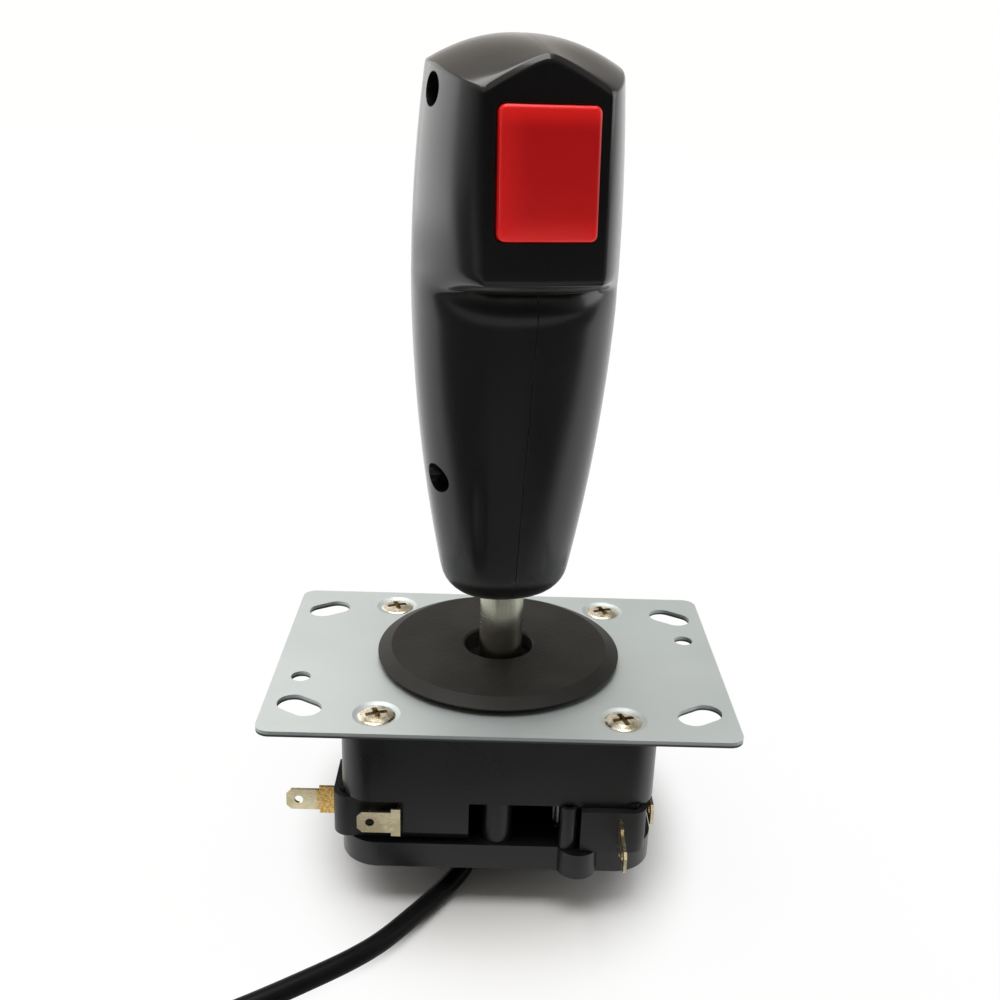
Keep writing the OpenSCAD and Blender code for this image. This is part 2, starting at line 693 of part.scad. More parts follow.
module retaining_clip() color(nickel) translate([0, 0, z_actuator - clip_t - seat_gap / 2]) difference() {
    cylinder(h = clip_t - seat_gap, r = clip_r);
    translate([0, 0, -over]) cylinder(h = clip_t + 2 * over, r = shaft_r - clip_groove + seat_gap);
    translate([0, -shaft_r + clip_groove + 0.3, -over])
        cube([clip_r + over, 2 * (shaft_r - clip_groove - 0.3), clip_t + 2 * over]);
}

// Grip sections. Heights are from the foot, v is the reach towards the user and u the reach to the side.
function clamp01(t) = min(1, max(0, t));
function lip01(t) = sqrt(1 - pow(1 - clamp01(t), 2));
function foot_inset(h) = h >= foot_round ? 0 : foot_round - sqrt(pow(foot_round, 2) - pow(foot_round - h, 2));
function roof_share(h, from) = 1 - clamp01((h - from) / (crown_h - from + 0.01));
function side_reach(h) =
    let (t = h < belly_h ? (belly_h - h) / belly_h : (h - belly_h) / (shoulder_h - belly_h),
        body = belly_w / 2 - (belly_w - (h < belly_h ? foot_w : crown_w)) / 2 * t * t)
    (h <= shoulder_h ? body : body * pow(roof_share(h, shoulder_h), 1 / roof_power)) - foot_inset(h);
function low_front(h) = foot_front + (ledge_front - foot_front) * h / ledge_h - foot_inset(h)
    - hollow_depth * pow(clamp01(1 - (ledge_h - h) / hollow_h), hollow_power);
function face_reach(h) = face_front + (peak_h - h) * tan(face_lean);
function head_front(h) = h <= peak_h ? face_reach(h) : face_front * pow(roof_share(h, peak_h), 1 / 3);
function back_reach(h) =
    let (body = belly_back - (belly_back - foot_back) * pow((h - belly_h) / belly_h, 2))
    (h <= eave_h ? body : body * pow(1 - pow(clamp01((h - eave_h) / (roof_h + 0.1)), back_power), 1 / back_power))
    - foot_inset(h);
function face_half(h) =
    h <= eave_h ? face_w / 2 : max(ridge_half, face_w / 2 * (peak_h - h) / gable_h);
function mid_reach(h) =
    min(mid_low + mid_rise * clamp01((h - belly_h) / (shoulder_h - belly_h)), head_front(h) * 0.6);

function low_point(h, angle, d) = [
    (side_reach(h) - d) * pow(sin(angle), 2 / round_power),
    mid_reach(h) + (low_front(h) - d - mid_reach(h)) * pow(cos(angle), 2 / round_power)
];
function head_side(h, angle, d) =
    let (f = min(face_half(h), side_reach(h) - 0.4) * (1 - d / 12))
    [
        f + (side_reach(h) - d - f) * pow(sin(angle), 2 / flank_power),
        mid_reach(h) + (head_front(h) - d - mid_reach(h)) * pow(cos(angle), 2 / flank_power)
    ];
function head_face(h, t, d) =
    [min(face_half(h), side_reach(h) - 0.4) * (1 - d / 12) * t, head_front(h) - d];
// The head takes over from the lower form at the ledge: over a quarter-round lip in front, and over an ever longer
// and softer blend as t goes from 0 at the edge of the face to 1 at the side
function mixed(h, d, t, low, head) =
    let (x = clamp01((h - ledge_h - d + 0.8 * flank_rise * t) / (ledge_rise + flank_rise * t)),
        k = lip01(x) * (1 - t) + x * x * (3 - 2 * x) * t)
    low * (1 - k) + head * k;
function half_section(h, d) = concat(
    [for (i = [0 : face_points]) let (t = i / face_points)
        mixed(h, d, 0, low_point(h, front_turn * t, d), head_face(h, t, d))],
    [for (i = [1 : flank_points]) let (t = i / flank_points)
        mixed(h, d, t, low_point(h, front_turn + (90 - front_turn) * t, d), head_side(h, 90 * t, d))],
    [for (i = [1 : back_points]) let (a = 90 * i / back_points) [
        (side_reach(h) - d) * pow(max(0, cos(a)), 2 / back_power),
        mid_reach(h) - (mid_reach(h) + back_reach(h) - d) * pow(sin(a), 2 / back_power)
    ]]
);

// One half of the grip's form as a loft through sections, set in from the outside by d
module half_loft(heights, d, edge) {
    rings = [for (h = heights) [for (p = half_section(h, d)) [p[0] + edge, -p[1], h]]];
    closed = edge > 0 ? rings : [for (r = rings)
        concat([[edge - over, r[0][1], r[0][2]]], r, [[edge - over, r[len(r) - 1][1], r[0][2]]])];
    n = len(closed[0]);
    m = len(closed);
    walls = [for (i = [0 : m - 2], k = [0 : n - 1])
        let (a = i * n + k, b = i * n + (k + 1) % n)
        each [[a, b + n, b], [a, a + n, b + n]]];
    polyhedron([for (r = closed) each r],
        concat(walls, [[for (k = [0 : n - 1]) k], [for (k = [n - 1 : -1 : 0]) (m - 1) * n + k]]));
}
grip_heights = concat(
    [for (t = [0, 15, 35, 60]) foot_round * (1 - cos(t))], [foot_round],
    [for (i = [1 : 6]) foot_round + (ledge_h - hollow_h - foot_round) * i / 6],
    [for (i = [1 : 6]) ledge_h - hollow_h * (1 - i / 6)],
    [for (a = [22.5, 45, 67.5, 90]) ledge_h + ledge_rise * (1 - cos(a))],
    [for (i = [1 : 4]) ledge_h + ledge_rise + (eave_h - ledge_h - ledge_rise) * i / 4],
    [for (i = [1 : 3]) eave_h + gable_h * i / 3],
    [for (s = [0.35, 0.62, 0.82, 0.94, 0.99]) peak_h + (crown_h - peak_h) * s]
);
cavity_ledge = ledge_h + grip_wall;
cavity_heights = concat(
    [for (i = [0 : 3]) cavity_low + (ledge_h - hollow_h - cavity_low) * i / 3], [ledge_h, cavity_ledge],
    [for (a = [45, 90]) cavity_ledge + ledge_rise * (1 - cos(a))], [cavity_high]
);

module in_grip() translate([0, 0, z_grip]) rotate(grip_turn) children();
module on_face() translate([0, -face_reach(button_mid), button_mid]) rotate([-face_lean, 0, 0]) children();
// A rounded slab on the face, from depth y0 to depth y1
module face_slab(w, h, r, y0, y1) translate([0, y1, 0]) rotate([90, 0, 0]) linear_extrude(y1 - y0)
    rounded_rect(w, h, r);

trigger_back = grip_wall + button_gap + flange_t + trigger_stem_l;
trigger_switch_y = trigger_back + button_gap + trigger_plunger_out;
trigger_boss_r = 3;

// One half of the moulded grip, on the +u side: shell, cavity, button opening, shaft seat and screw holes
module grip_half(screw_side) {
    difference() {
        union() {
            difference() {
                half_loft(grip_heights, 0, seam_half);
                half_loft(cavity_heights, grip_wall, 0);
                on_face() face_slab(button_w + 2 * (flange_side + 0.5), button_h + 2 * (flange_side + 0.5),
                    button_corner_r, grip_wall, trigger_switch_y - 1);
            }
            on_face() for (z = trigger_pins)
                translate([trigger_switch_t / 2 + seat_gap, trigger_switch_y + trigger_switch_d / 2, z])
                    rotate([0, 90, 0]) cylinder(h = crown_w / 2 - grip_wall - trigger_switch_t / 2, r = trigger_boss_r);
        }
        on_face() face_slab(button_w + 2 * button_gap, button_h + 2 * button_gap, button_corner_r + button_gap,
            -button_proud - over, grip_wall + over);
        intersection() {
            translate([0, 0, -over]) cylinder(h = shaft_grip_l + 2 * over, r = shaft_r + seat_gap);
            translate([-shaft_d, -shaft_d, -2 * over])
                cube([shaft_d + shaft_flats / 2 + seat_gap, 2 * shaft_d, shaft_grip_l + 4 * over]);
        }
        translate([0, 0, -over]) cylinder(h = 10 + over, r = shaft_r + seat_gap);
        for (p = grip_screw_places) translate([0, -p[0], p[1]]) rotate([0, 90, 0]) {
            if (screw_side) {
                translate([0, 0, -over]) cylinder(h = belly_w, r = grip_screw_r + seat_gap);
                translate([0, 0, side_reach(p[1]) - recess_depth]) cylinder(h = belly_w, r = recess_r);
            } else translate([0, 0, -over]) cylinder(h = 9 + over, r = grip_screw_r + seat_gap);
        }
    }
}
module grip_right() color(black) in_grip() grip_half(false);
module grip_left() color(black) in_grip() mirror([1, 0, 0]) grip_half(true);
module grip_screws() color(nickel) in_grip() for (p = grip_screw_places)
    translate([recess_depth - side_reach(p[1]), -p[0], p[1]]) rotate([0, 90, 0]) difference() {
        union() {
            translate([0, 0, -1.8 - seat_gap]) cylinder(h = 1.8, r = recess_r - 0.3);
            translate([0, 0, -1]) cylinder(h = side_reach(p[1]) - recess_depth + 9, r = grip_screw_r);
        }
        for (turn = [0, 90]) rotate(turn) translate([-1.6, -0.4, -3]) cube([3.2, 0.8, 2.2]);
    }

// Trigger: hollow push button with a stop flange, working a small snap switch
module trigger_button() color(red) in_grip() on_face() {
    difference() {
        union() {
            face_slab(button_w, button_h, button_corner_r, -button_proud, grip_wall + button_gap + flange_t);
            face_slab(button_w + 2 * flange_side, button_h + 2 * flange_side, button_corner_r,
                grip_wall + button_gap, grip_wall + button_gap + flange_t);
        }
        face_slab(button_w - 4, button_h - 4, button_corner_r, 0, trigger_back);
    }
    rotate([90, 0, 0]) translate([0, 0, -trigger_back]) cylinder(h = trigger_back + 0.5, r = trigger_stem_r);
}
module trigger_switch() color(black) in_grip() on_face() difference() {
    translate([-trigger_switch_t / 2, trigger_switch_y, -trigger_switch_l / 2 - trigger_switch_drop])
        cube([trigger_switch_t, trigger_switch_d, trigger_switch_l]);
    translate([0, trigger_switch_y - over, 0]) rotate([-90, 0, 0])
        cylinder(h = 4 + over, r = trigger_plunger_r + run_gap);
    for (z = trigger_pins) translate([-trigger_switch_t, trigger_switch_y + trigger_switch_d / 2, z])
        rotate([0, 90, 0]) cylinder(h = 2 * trigger_switch_t, r = trigger_pin_r);
}
module trigger_plunger() color(nylon) in_grip() on_face()
    translate([0, trigger_switch_y - trigger_plunger_out, 0]) rotate([-90, 0, 0])
        cylinder(h = trigger_plunger_out + 2, r = trigger_plunger_r);
trigger_tab_z = [-7, -0.5];
trigger_tab_l = 4;
lead_r = 0.7;
lead_spread = 1.2;
lead_top = 6;
lead_bow = 2;
lead_drop = 8;
lead_sides = 8;
module trigger_terminals() color(brass) in_grip() on_face() for (z = trigger_tab_z)
    translate([-tab_t / 2, trigger_switch_y + trigger_switch_d, z - 1.2]) cube([tab_t, trigger_tab_l, 2.4]);

// Leads: the cable's upper end inside the shaft, fanning out to the two trigger terminals
module trigger_leads() color(black) {
    top = z_shaft_top + lead_top;
    translate([0, 0, z_shaft_end]) cylinder(h = top - z_shaft_end, r = cable_r);
    in_grip() for (i = [0, 1]) {
        tab_y = -face_reach(button_mid) + trigger_switch_y + trigger_switch_d + trigger_tab_l - 1.2;
        end_h = button_mid + trigger_tab_z[i] - 1.6;
        side = i == 0 ? -lead_spread : lead_spread;
        start = [side * lead_r / lead_spread, 0, top - z_grip - lead_r];
        tube([start, [side, lead_bow / 2, start[2] + lead_top], [side * 1.6, tab_y + lead_bow, end_h - lead_drop],
            [side * 1.2, tab_y + lead_bow - lead_r, end_h]], lead_r, lead_sides, [1, 0, 0]);
    }
}

// Cable: tail under the shaft, run over the floor, coil, tie and plug
module cable_tail() color(black) {
    aim = [cos(cable_turn), sin(cable_turn), 0];
    low = route_out[0][2];
    start = z_shaft_end - 0.2;
    bend = [for (i = [0 : 8]) let (a = 90 * i / 8)
        aim * bend_r * (1 - cos(a)) + [0, 0, low + (start - low) * (1 - sin(a))]];
    tube(concat(bend, [route_out[0]]), cable_r, cable_sides, cross(aim, [0, 0, 1]));
}
module cable() color(black) {
    tube(route_out, cable_r, cable_sides);
    tube(route_end, cable_r, cable_sides);
}
module coil_section() {
    low = coil_lift + cable_r;
    rise = cable_d * sqrt(3) / 2;
    places = [[coil_r - cable_r, low], [coil_r + cable_r, low], [coil_r, low + rise]];
    for (p = places) translate(p) circle(cable_r);
    polygon(places);
    translate([coil_r - cable_r, coil_lift]) square([cable_d, cable_r]);
}
module cable_coil() color(black) translate([coil_at[0], coil_at[1], 0]) rotate_extrude() coil_section();
module cable_tie() color(black) translate([coil_at[0], coil_at[1], 0]) rotate(tie_turn)
    rotate_extrude(angle = tie_angle) difference() {
        translate([coil_r - cable_d - tie_t - 0.1, 0])
            square([2 * (cable_d + tie_t + 0.1), coil_lift + 2 * cable_d + tie_t]);
        translate([coil_r - cable_d - 0.1, tie_t]) square([2 * (cable_d + 0.1), coil_lift + 2 * cable_d - tie_t]);
    }
module cable_connector() color(nylon) {
    tip = route_end[len(route_end) - 1];
    translate([tip[0] - connector_size[0] / 2, tip[1] - connector_size[1], 0]) difference() {
        cube(connector_size);
        for (x = [0.3, 0.7]) translate([x * connector_size[0] - 1.1, -over, connector_size[2] / 2 - 1.1])
            cube([2.2, connector_size[1] / 2, 2.2]);
    }
}

mounting_plate();
plate_screws();
dust_washer();
housing();
pivot_retainer();
bottom_plate();
bottom_screws();
restrictor_gate();
cable_grommet();
at_switch(0) switch_case();  // switch_case_front
at_switch(1) switch_case();  // switch_case_right
at_switch(2) switch_case();  // switch_case_rear
at_switch(3) switch_case();  // switch_case_left
at_switch(0) switch_terminals();  // switch_terminals_front
at_switch(1) switch_terminals();  // switch_terminals_right
at_switch(2) switch_terminals();  // switch_terminals_rear
at_switch(3) switch_terminals();  // switch_terminals_left
at_switch(0) switch_lever();  // switch_lever_front
at_switch(1) switch_lever();  // switch_lever_right
at_switch(2) switch_lever();  // switch_lever_rear
at_switch(3) switch_lever();  // switch_lever_left
at_switch(0) switch_plunger();  // switch_plunger_front
at_switch(1) switch_plunger();  // switch_plunger_right
at_switch(2) switch_plunger();  // switch_plunger_rear
at_switch(3) switch_plunger();  // switch_plunger_left
return_spring();
pivot_liner();
shaft();
pivot_ball();
actuator();
retaining_clip();
grip_left();
grip_right();
grip_screws();
trigger_button();
trigger_switch();
trigger_terminals();
trigger_plunger();
trigger_leads();
cable_tail();
cable();
cable_coil();
cable_tie();
cable_connector();
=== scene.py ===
import math

import bmesh
import bpy
import numpy as np
from mathutils import Matrix


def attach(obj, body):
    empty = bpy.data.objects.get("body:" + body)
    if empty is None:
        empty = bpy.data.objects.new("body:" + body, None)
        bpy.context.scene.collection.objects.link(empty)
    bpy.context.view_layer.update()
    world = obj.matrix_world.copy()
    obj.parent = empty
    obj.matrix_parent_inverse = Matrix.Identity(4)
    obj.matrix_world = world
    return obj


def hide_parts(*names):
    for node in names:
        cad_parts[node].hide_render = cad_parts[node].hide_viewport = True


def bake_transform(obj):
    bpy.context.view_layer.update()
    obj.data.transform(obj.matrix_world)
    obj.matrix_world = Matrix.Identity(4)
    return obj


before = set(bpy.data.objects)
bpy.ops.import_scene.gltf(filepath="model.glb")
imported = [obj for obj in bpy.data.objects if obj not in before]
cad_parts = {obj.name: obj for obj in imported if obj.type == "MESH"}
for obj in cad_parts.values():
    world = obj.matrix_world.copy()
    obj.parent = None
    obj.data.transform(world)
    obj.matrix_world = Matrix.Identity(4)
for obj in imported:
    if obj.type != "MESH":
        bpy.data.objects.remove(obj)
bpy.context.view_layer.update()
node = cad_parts
MM = 0.001

# Camera
# The picture was taken from just in front of the stick, a little above its middle, with a short lens held
# almost level. The place and the turns come from a fit to the plate's corners, slots and screws.
pitch, yaw, roll = 0.3562, 0.01231, 0.03206
forward = np.array([math.sin(yaw) * math.cos(pitch), math.cos(yaw) * math.cos(pitch), -math.sin(pitch)])
level_right = np.array([math.cos(yaw), -math.sin(yaw), 0.0])
level_up = np.cross(level_right, forward)
right = math.cos(roll) * level_right + math.sin(roll) * level_up
up = math.cos(roll) * level_up - math.sin(roll) * level_right
camera_place = np.array([-3.842, -222.638, 161.380]) * MM
lens = bpy.data.cameras.new("photo_camera")
lens.sensor_fit = "HORIZONTAL"
lens.sensor_width = 36.0
lens.lens = 36.0 * 1123.03 / 1000.0
lens.clip_start = 0.01
camera = bpy.data.objects.new("photo_camera", lens)
bpy.context.scene.collection.objects.link(camera)
turned = np.eye(4)
turned[:3] = np.stack([right, up, -forward, camera_place], axis=1)
camera.matrix_world = Matrix(turned.tolist())
bpy.context.scene.camera = camera
bpy.context.scene.view_settings.view_transform = "Standard"


# Floor and light
# A white table under soft room light: one broad lamp overhead, weaker ones from both sides, and a room that
# is white round the sides and dark in front. The floor is self-lit past the base's shadow, so it reads white.
# In reflections the floor in front is dim, with a paler strip and patch, as where someone stands there.
class Wire:
    """A socket in a finish. Arithmetic on wires adds Math nodes, and node() adds any other kind of node."""

    def __init__(self, tree, socket=None):
        self.tree = tree
        self.socket = socket

    def node(self, kind, settings, inputs, output):
        made = self.tree.nodes.new("ShaderNode" + kind)
        for name, value in settings.items():
            setattr(made, name, value)
        for name, value in inputs.items():
            if isinstance(value, Wire):
                self.tree.links.new(value.socket, made.inputs[name])
            else:
                made.inputs[name].default_value = value
        return Wire(self.tree, made.outputs[output])

    def maths(self, operation, first, second=0.0):
        return self.node("Math", {"operation": operation}, {0: first, 1: second}, 0)

    def __add__(self, other):
        return self.maths("ADD", self, other)

    def __sub__(self, other):
        return self.maths("SUBTRACT", self, other)

    def __rsub__(self, other):
        return self.maths("SUBTRACT", other, self)

    def __mul__(self, other):
        return self.maths("MULTIPLY", self, other)

    def larger(self, other):
        return self.maths("MAXIMUM", self, other)

    def band(self, low, high, at_low=0.0, at_high=1.0):
        """A smooth step from at_low to at_high as the wire goes from low to high."""
        return self.node("MapRange", {"interpolation_type": "SMOOTHSTEP"},
                         {0: self, 1: low, 2: high, 3: at_low, 4: at_high}, 0)

    def colour(self, first, second):
        """A colour that goes from first to second as the wire goes from 0 to 1."""
        return self.node("Mix", {"data_type": "RGBA"}, {0: self, 6: first, 7: second}, 2)


def rgba(red, green, blue):
    return (red, green, blue, 1.0)


def seen_directly(tree):
    """1 where a ray comes from the camera, a reflection or through something, and 0 for lighting rays."""
    start = Wire(tree)
    rays = [start.node("LightPath", {}, {}, name)
            for name in ("Is Camera Ray", "Is Glossy Ray", "Is Transmission Ray")]
    return rays[0].larger(rays[1]).larger(rays[2])


room = bpy.data.worlds.new("white_room")
bpy.context.scene.world = room
room.use_nodes = True
room_tree = room.node_tree
room_light = room_tree.nodes["Background"]
room_way = Wire(room_tree).node("TexCoord", {}, {}, "Generated")
room_ahead = room_way.node("SeparateXYZ", {}, {0: room_way}, "Y")
room_up = room_way.node("SeparateXYZ", {}, {0: room_way}, "Z")
room_right = room_way.node("SeparateXYZ", {}, {0: room_way}, "X")
room_corner = room_right.band(0.0, 0.3, 0.0, 0.45) * room_up.band(0.1, 0.3)
room_wall = (room_ahead * 0.8 + room_up * 1.6).band(-0.42, 0.66, 0.07, 1.0)
room_shade = room_wall * room_up.band(0.1, 0.5, 1.0, 0.72) * (1 - room_corner)
room_tone = room_up.band(0.15, 0.4).colour(rgba(1.0, 1.0, 0.99), rgba(1.0, 0.93, 0.84))
room_tree.links.new(room_tone.socket, room_light.inputs["Color"])
room_seen = Wire(room_tree).node("LightPath", {}, {}, "Is Camera Ray")
room_strength = room_seen.larger(seen_directly(room_tree).larger(0.42) * room_shade)
room_tree.links.new(room_strength.socket, room_light.inputs["Strength"])

floor_size, floor_drop = 3.0, 2e-4
floor_corners = [(x * floor_size, y * floor_size, -floor_drop)
                 for x, y in ((-1, -1), (1, -1), (1, 1), (-1, 1))]
floor_mesh = bpy.data.meshes.new("table")
floor_mesh.from_pydata(floor_corners, [], [(0, 1, 2, 3)])
floor = bpy.data.objects.new("table", floor_mesh)
bpy.context.scene.collection.objects.link(floor)
floor_finish = bpy.data.materials.new("white_table")
floor_finish.use_nodes = True
floor_tree = floor_finish.node_tree
floor_tree.nodes.clear()
floor_start = Wire(floor_tree)
floor_paper = floor_start.node("BsdfDiffuse", {}, {"Color": rgba(0.93, 0.93, 0.92)}, 0)
floor_glow = floor_start.node("Emission", {}, {"Color": rgba(1, 1, 1), "Strength": 1.0}, 0)
floor_place = floor_start.node("TexCoord", {}, {}, "Object")
floor_stretch = (1.15, 0.8, 1.0)
floor_near = floor_start.node("VectorMath", {"operation": "MULTIPLY"}, {0: floor_place, 1: floor_stretch}, 0)
floor_far = floor_start.node("VectorMath", {"operation": "LENGTH"}, {0: floor_near}, "Value")
floor_white = floor_far.band(0.031, 0.056, 0.0, 0.93) + floor_far.band(0.08, 0.25, 0.0, 0.07)
floor_share = floor_white * seen_directly(floor_tree)
floor_lit = floor_start.node("MixShader", {}, {0: floor_share, 1: floor_paper, 2: floor_glow}, 0)
floor_ahead = floor_start.node("SeparateXYZ", {}, {0: floor_place}, "Y")
floor_mirrored = floor_start.node("LightPath", {}, {}, "Is Glossy Ray")
floor_across = floor_start.node("SeparateXYZ", {}, {0: floor_place}, "X")
floor_side = floor_across.maths("ABSOLUTE", floor_across)
floor_front = (floor_ahead - (floor_side - 0.15).larger(0.0) * 0.3).band(-0.085, -0.03, 1.0, 0.0)
floor_strip = floor_ahead.band(-0.31, -0.24, 1.0, 0.0) * floor_ahead.band(-1.0, -0.6)
floor_patch = floor_side.band(0.03, 0.10, 1.0, 0.0) * floor_ahead.band(-0.22, -0.15)
floor_grey = floor_strip * 0.10 + floor_patch * 0.03 + 0.0325
floor_tone = floor_grey.colour(rgba(0, 0, 0), rgba(1, 1, 1))
floor_dim = floor_start.node("Emission", {}, {"Color": floor_tone, "Strength": 4.0}, 0)
floor_turn = floor_front * floor_mirrored
floor_mix = floor_start.node("MixShader", {}, {0: floor_turn, 1: floor_lit, 2: floor_dim}, 0)
floor_out = floor_tree.nodes.new("ShaderNodeOutputMaterial")
floor_tree.links.new(floor_mix.socket, floor_out.inputs["Surface"])
floor_mesh.materials.append(floor_finish)


def soft_lamp(name, place, aim, size, power):
    """A square lamp at a place that faces a point, with its size and its power in watts."""
    light = bpy.data.lights.new(name, "AREA")
    light.size = size
    light.energy = power
    lamp = bpy.data.objects.new(name, light)
    bpy.context.scene.collection.objects.link(lamp)
    away = Matrix.Translation(place).translation - Matrix.Translation(aim).translation
    lamp.matrix_world = Matrix.Translation(place) @ away.to_track_quat("Z", "Y").to_matrix().to_4x4()


soft_lamp("ceiling_lamp", (-0.10, 0.0, 1.10), (0.0, 0.0, 0.05), 0.9, 11.0)
soft_lamp("left_window", (-0.84, 0.66, 0.42), (0.0, 0.0, 0.05), 0.9, 2.6)
soft_lamp("right_window", (0.95, 0.10, 0.45), (0.0, 0.0, 0.05), 0.6, 2.0)


# Mounting plate
# A pressed sheet of steel, bright zinc plated, with a shaft hole, four dimples for screws, four slots and
# two small holes. The zinc shows a faint cloudy bloom and fine rolling lines along its length. It is painted
# paler towards the left as light falling there, and the lower part of its edges, its underside and the wall
# of its shaft hole are painted dark as shade.
class Finish:
    """A material on object coordinates: place is the point on the piece, in metres."""

    def __init__(self, name):
        self.material = bpy.data.materials.new(name)
        self.material.use_nodes = True
        self.tree = self.material.node_tree
        self.shader = self.tree.nodes["Principled BSDF"]
        self.place = Wire(self.tree).node("TexCoord", {}, {}, "Object")

    def axis(self, name):
        return self.place.node("SeparateXYZ", {}, {0: self.place}, name)

    def stretched(self, x, y, z):
        """The place with its axes stretched, so that a pattern runs along one of them."""
        return self.place.node("VectorMath", {"operation": "MULTIPLY"}, {0: self.place, 1: (x, y, z)}, 0)

    def noise(self, scale, detail=2.0, place=None, rough=0.5):
        inputs = {"Vector": place or self.place, "Scale": scale, "Detail": detail, "Roughness": rough}
        return self.place.node("TexNoise", {}, inputs, "Fac")

    def round_the_axis(self, x=0.0, y=0.0):
        """Distance from an upright axis at x, y, in metres."""
        flat = self.place.node("VectorMath", {"operation": "MULTIPLY"}, {0: self.place, 1: (1, 1, 0)}, 0)
        return self.place.node("VectorMath", {"operation": "DISTANCE"}, {0: flat, 1: (x, y, 0)}, "Value")

    def bump(self, height, distance, strength=1.0):
        return self.place.node("Bump", {}, {"Strength": strength, "Distance": distance, "Height": height}, 0)

    def set(self, **sockets):
        for name, value in sockets.items():
            target = self.shader.inputs[name.replace("_", " ").title().replace("Ior", "IOR")]
            if isinstance(value, Wire):
                self.tree.links.new(value.socket, target)
            else:
                target.default_value = value
        return self.material


def dress(finish, *names):
    """Gives CAD nodes a finish in place of their plain material."""
    for name in names:
        materials = node[name].data.materials
        materials.clear()
        materials.append(finish)


zinc = Finish("zinc_plate")
zinc_bloom = zinc.noise(55.0, 4.0)
# Painted light: the zinc is painted paler towards the left, where more light falls on the plate.
zinc_lit_side = zinc.axis("X").band(-45.0 * MM, 40.0 * MM, 0.6, 0.0)
zinc_patch_and_lit_side = zinc.noise(23.0, 3.0).band(0.35, 0.65) * 0.4 + zinc_lit_side
# Painted shade: dark low on the edges, underneath and on the wall of the shaft hole.
zinc_painted_shade = zinc.axis("Z").band(40.1 * MM, 40.45 * MM) * zinc.round_the_axis().band(10.0 * MM, 10.4 * MM)
zinc_lines = zinc.noise(1.0, 3.0, zinc.stretched(120.0, 3800.0, 900.0), 0.6)
zinc_grain = zinc.noise(2600.0, 2.0)
zinc_cloud_and_lit_side = zinc_bloom * 0.4 + zinc_lines * 0.2 + zinc_patch_and_lit_side * 0.4
zinc_tone = zinc_cloud_and_lit_side.colour(rgba(0.48, 0.54, 0.53), rgba(0.64, 0.675, 0.69))
dress(zinc.set(
    base_color=zinc_painted_shade.colour(rgba(0.10, 0.11, 0.11), zinc_tone),
    metallic=0.85,
    roughness=(zinc_bloom * 0.16 + zinc_lines * 0.12).band(0.0, 0.28, 0.50, 0.64),
    normal=zinc.bump(zinc_lines * 0.6 + zinc_grain * 0.4, 6e-6)), "mounting_plate")

# Plate screws
# Four countersunk steel screws with cross recesses, nickel plated with a warm tint. Their recesses are
# painted dark brown as shade, and the crowns above stay pale. The screws out of sight have a plainer finish.
nickel = Finish("nickel_screw")
nickel_wear = nickel.noise(900.0, 3.0)
nickel_stain = nickel.noise(420.0, 3.0).band(0.35, 0.65)
# Painted shade: the colour goes dark brown low in the recesses and stays pale on the crowns.
nickel_painted_shade = nickel.axis("Z").band(40.35 * MM, 40.95 * MM)
nickel_shaded_recess = nickel_wear.band(0.4, 0.6).colour(rgba(0.70, 0.60, 0.40), rgba(0.24, 0.19, 0.11))
nickel_crown = nickel_stain.colour(rgba(0.86, 0.82, 0.70), rgba(0.46, 0.41, 0.30))
dress(nickel.set(
    base_color=nickel_painted_shade.colour(nickel_shaded_recess, nickel_crown),
    metallic=1.0,
    roughness=nickel_wear.band(0.2, 0.8, 0.16, 0.36),
    normal=nickel.bump(nickel_wear, 40e-6)), "plate_screws")
hidden_nickel = Finish("nickel_fastener")
hidden_wear = hidden_nickel.noise(900.0, 3.0)
dress(hidden_nickel.set(
    base_color=hidden_wear.colour(rgba(0.60, 0.56, 0.46), rgba(0.48, 0.44, 0.35)),
    metallic=1.0,
    roughness=hidden_wear.band(0.2, 0.8, 0.22, 0.42),
    normal=hidden_nickel.bump(hidden_wear, 8e-6)), "bottom_screws", "grip_screws")

# Housing, bottom plate and gate
# Black moulded plastic. The housing is a pocketed block with a ball socket and open sides for the switches,
# the tray below it closes the bay, and the round gate under the tray stops the shaft. The plastic is rougher
# near the shaft's axis.
moulded = Finish("moulded_black")
moulded_cloud = moulded.noise(70.0, 3.0)
moulded_grain = moulded.noise(3200.0, 2.0)
moulded_socket = moulded.round_the_axis().band(9.8 * MM, 10.8 * MM, 0.6, 0.0)
dress(moulded.set(
    base_color=moulded_cloud.colour(rgba(0.004, 0.0045, 0.0055), rgba(0.008, 0.0088, 0.0105)),
    roughness=moulded_cloud.band(0.3, 0.7, 0.26, 0.38) + moulded_socket,
    normal=moulded.bump(moulded_grain, 7e-6)),
    "housing", "bottom_plate", "restrictor_gate", "actuator")

# Switches
# Four snap switches in a pinwheel: a black case, tinned blade terminals with a soldering hole, a sprung
# steel lever on a pin, and a small red plunger. The tin has worn off the left blade where it meets its case.
case_black = Finish("switch_case_black")
case_grain = case_black.noise(4200.0, 2.0)
case_cloud = case_black.noise(120.0, 2.0)
dress(case_black.set(
    base_color=case_cloud.colour(rgba(0.005, 0.005, 0.006), rgba(0.010, 0.010, 0.012)),
    roughness=case_cloud.band(0.3, 0.7, 0.38, 0.52),
    normal=case_black.bump(case_grain, 8e-6)),
    "switch_case_front", "switch_case_right", "switch_case_rear", "switch_case_left", "trigger_switch")

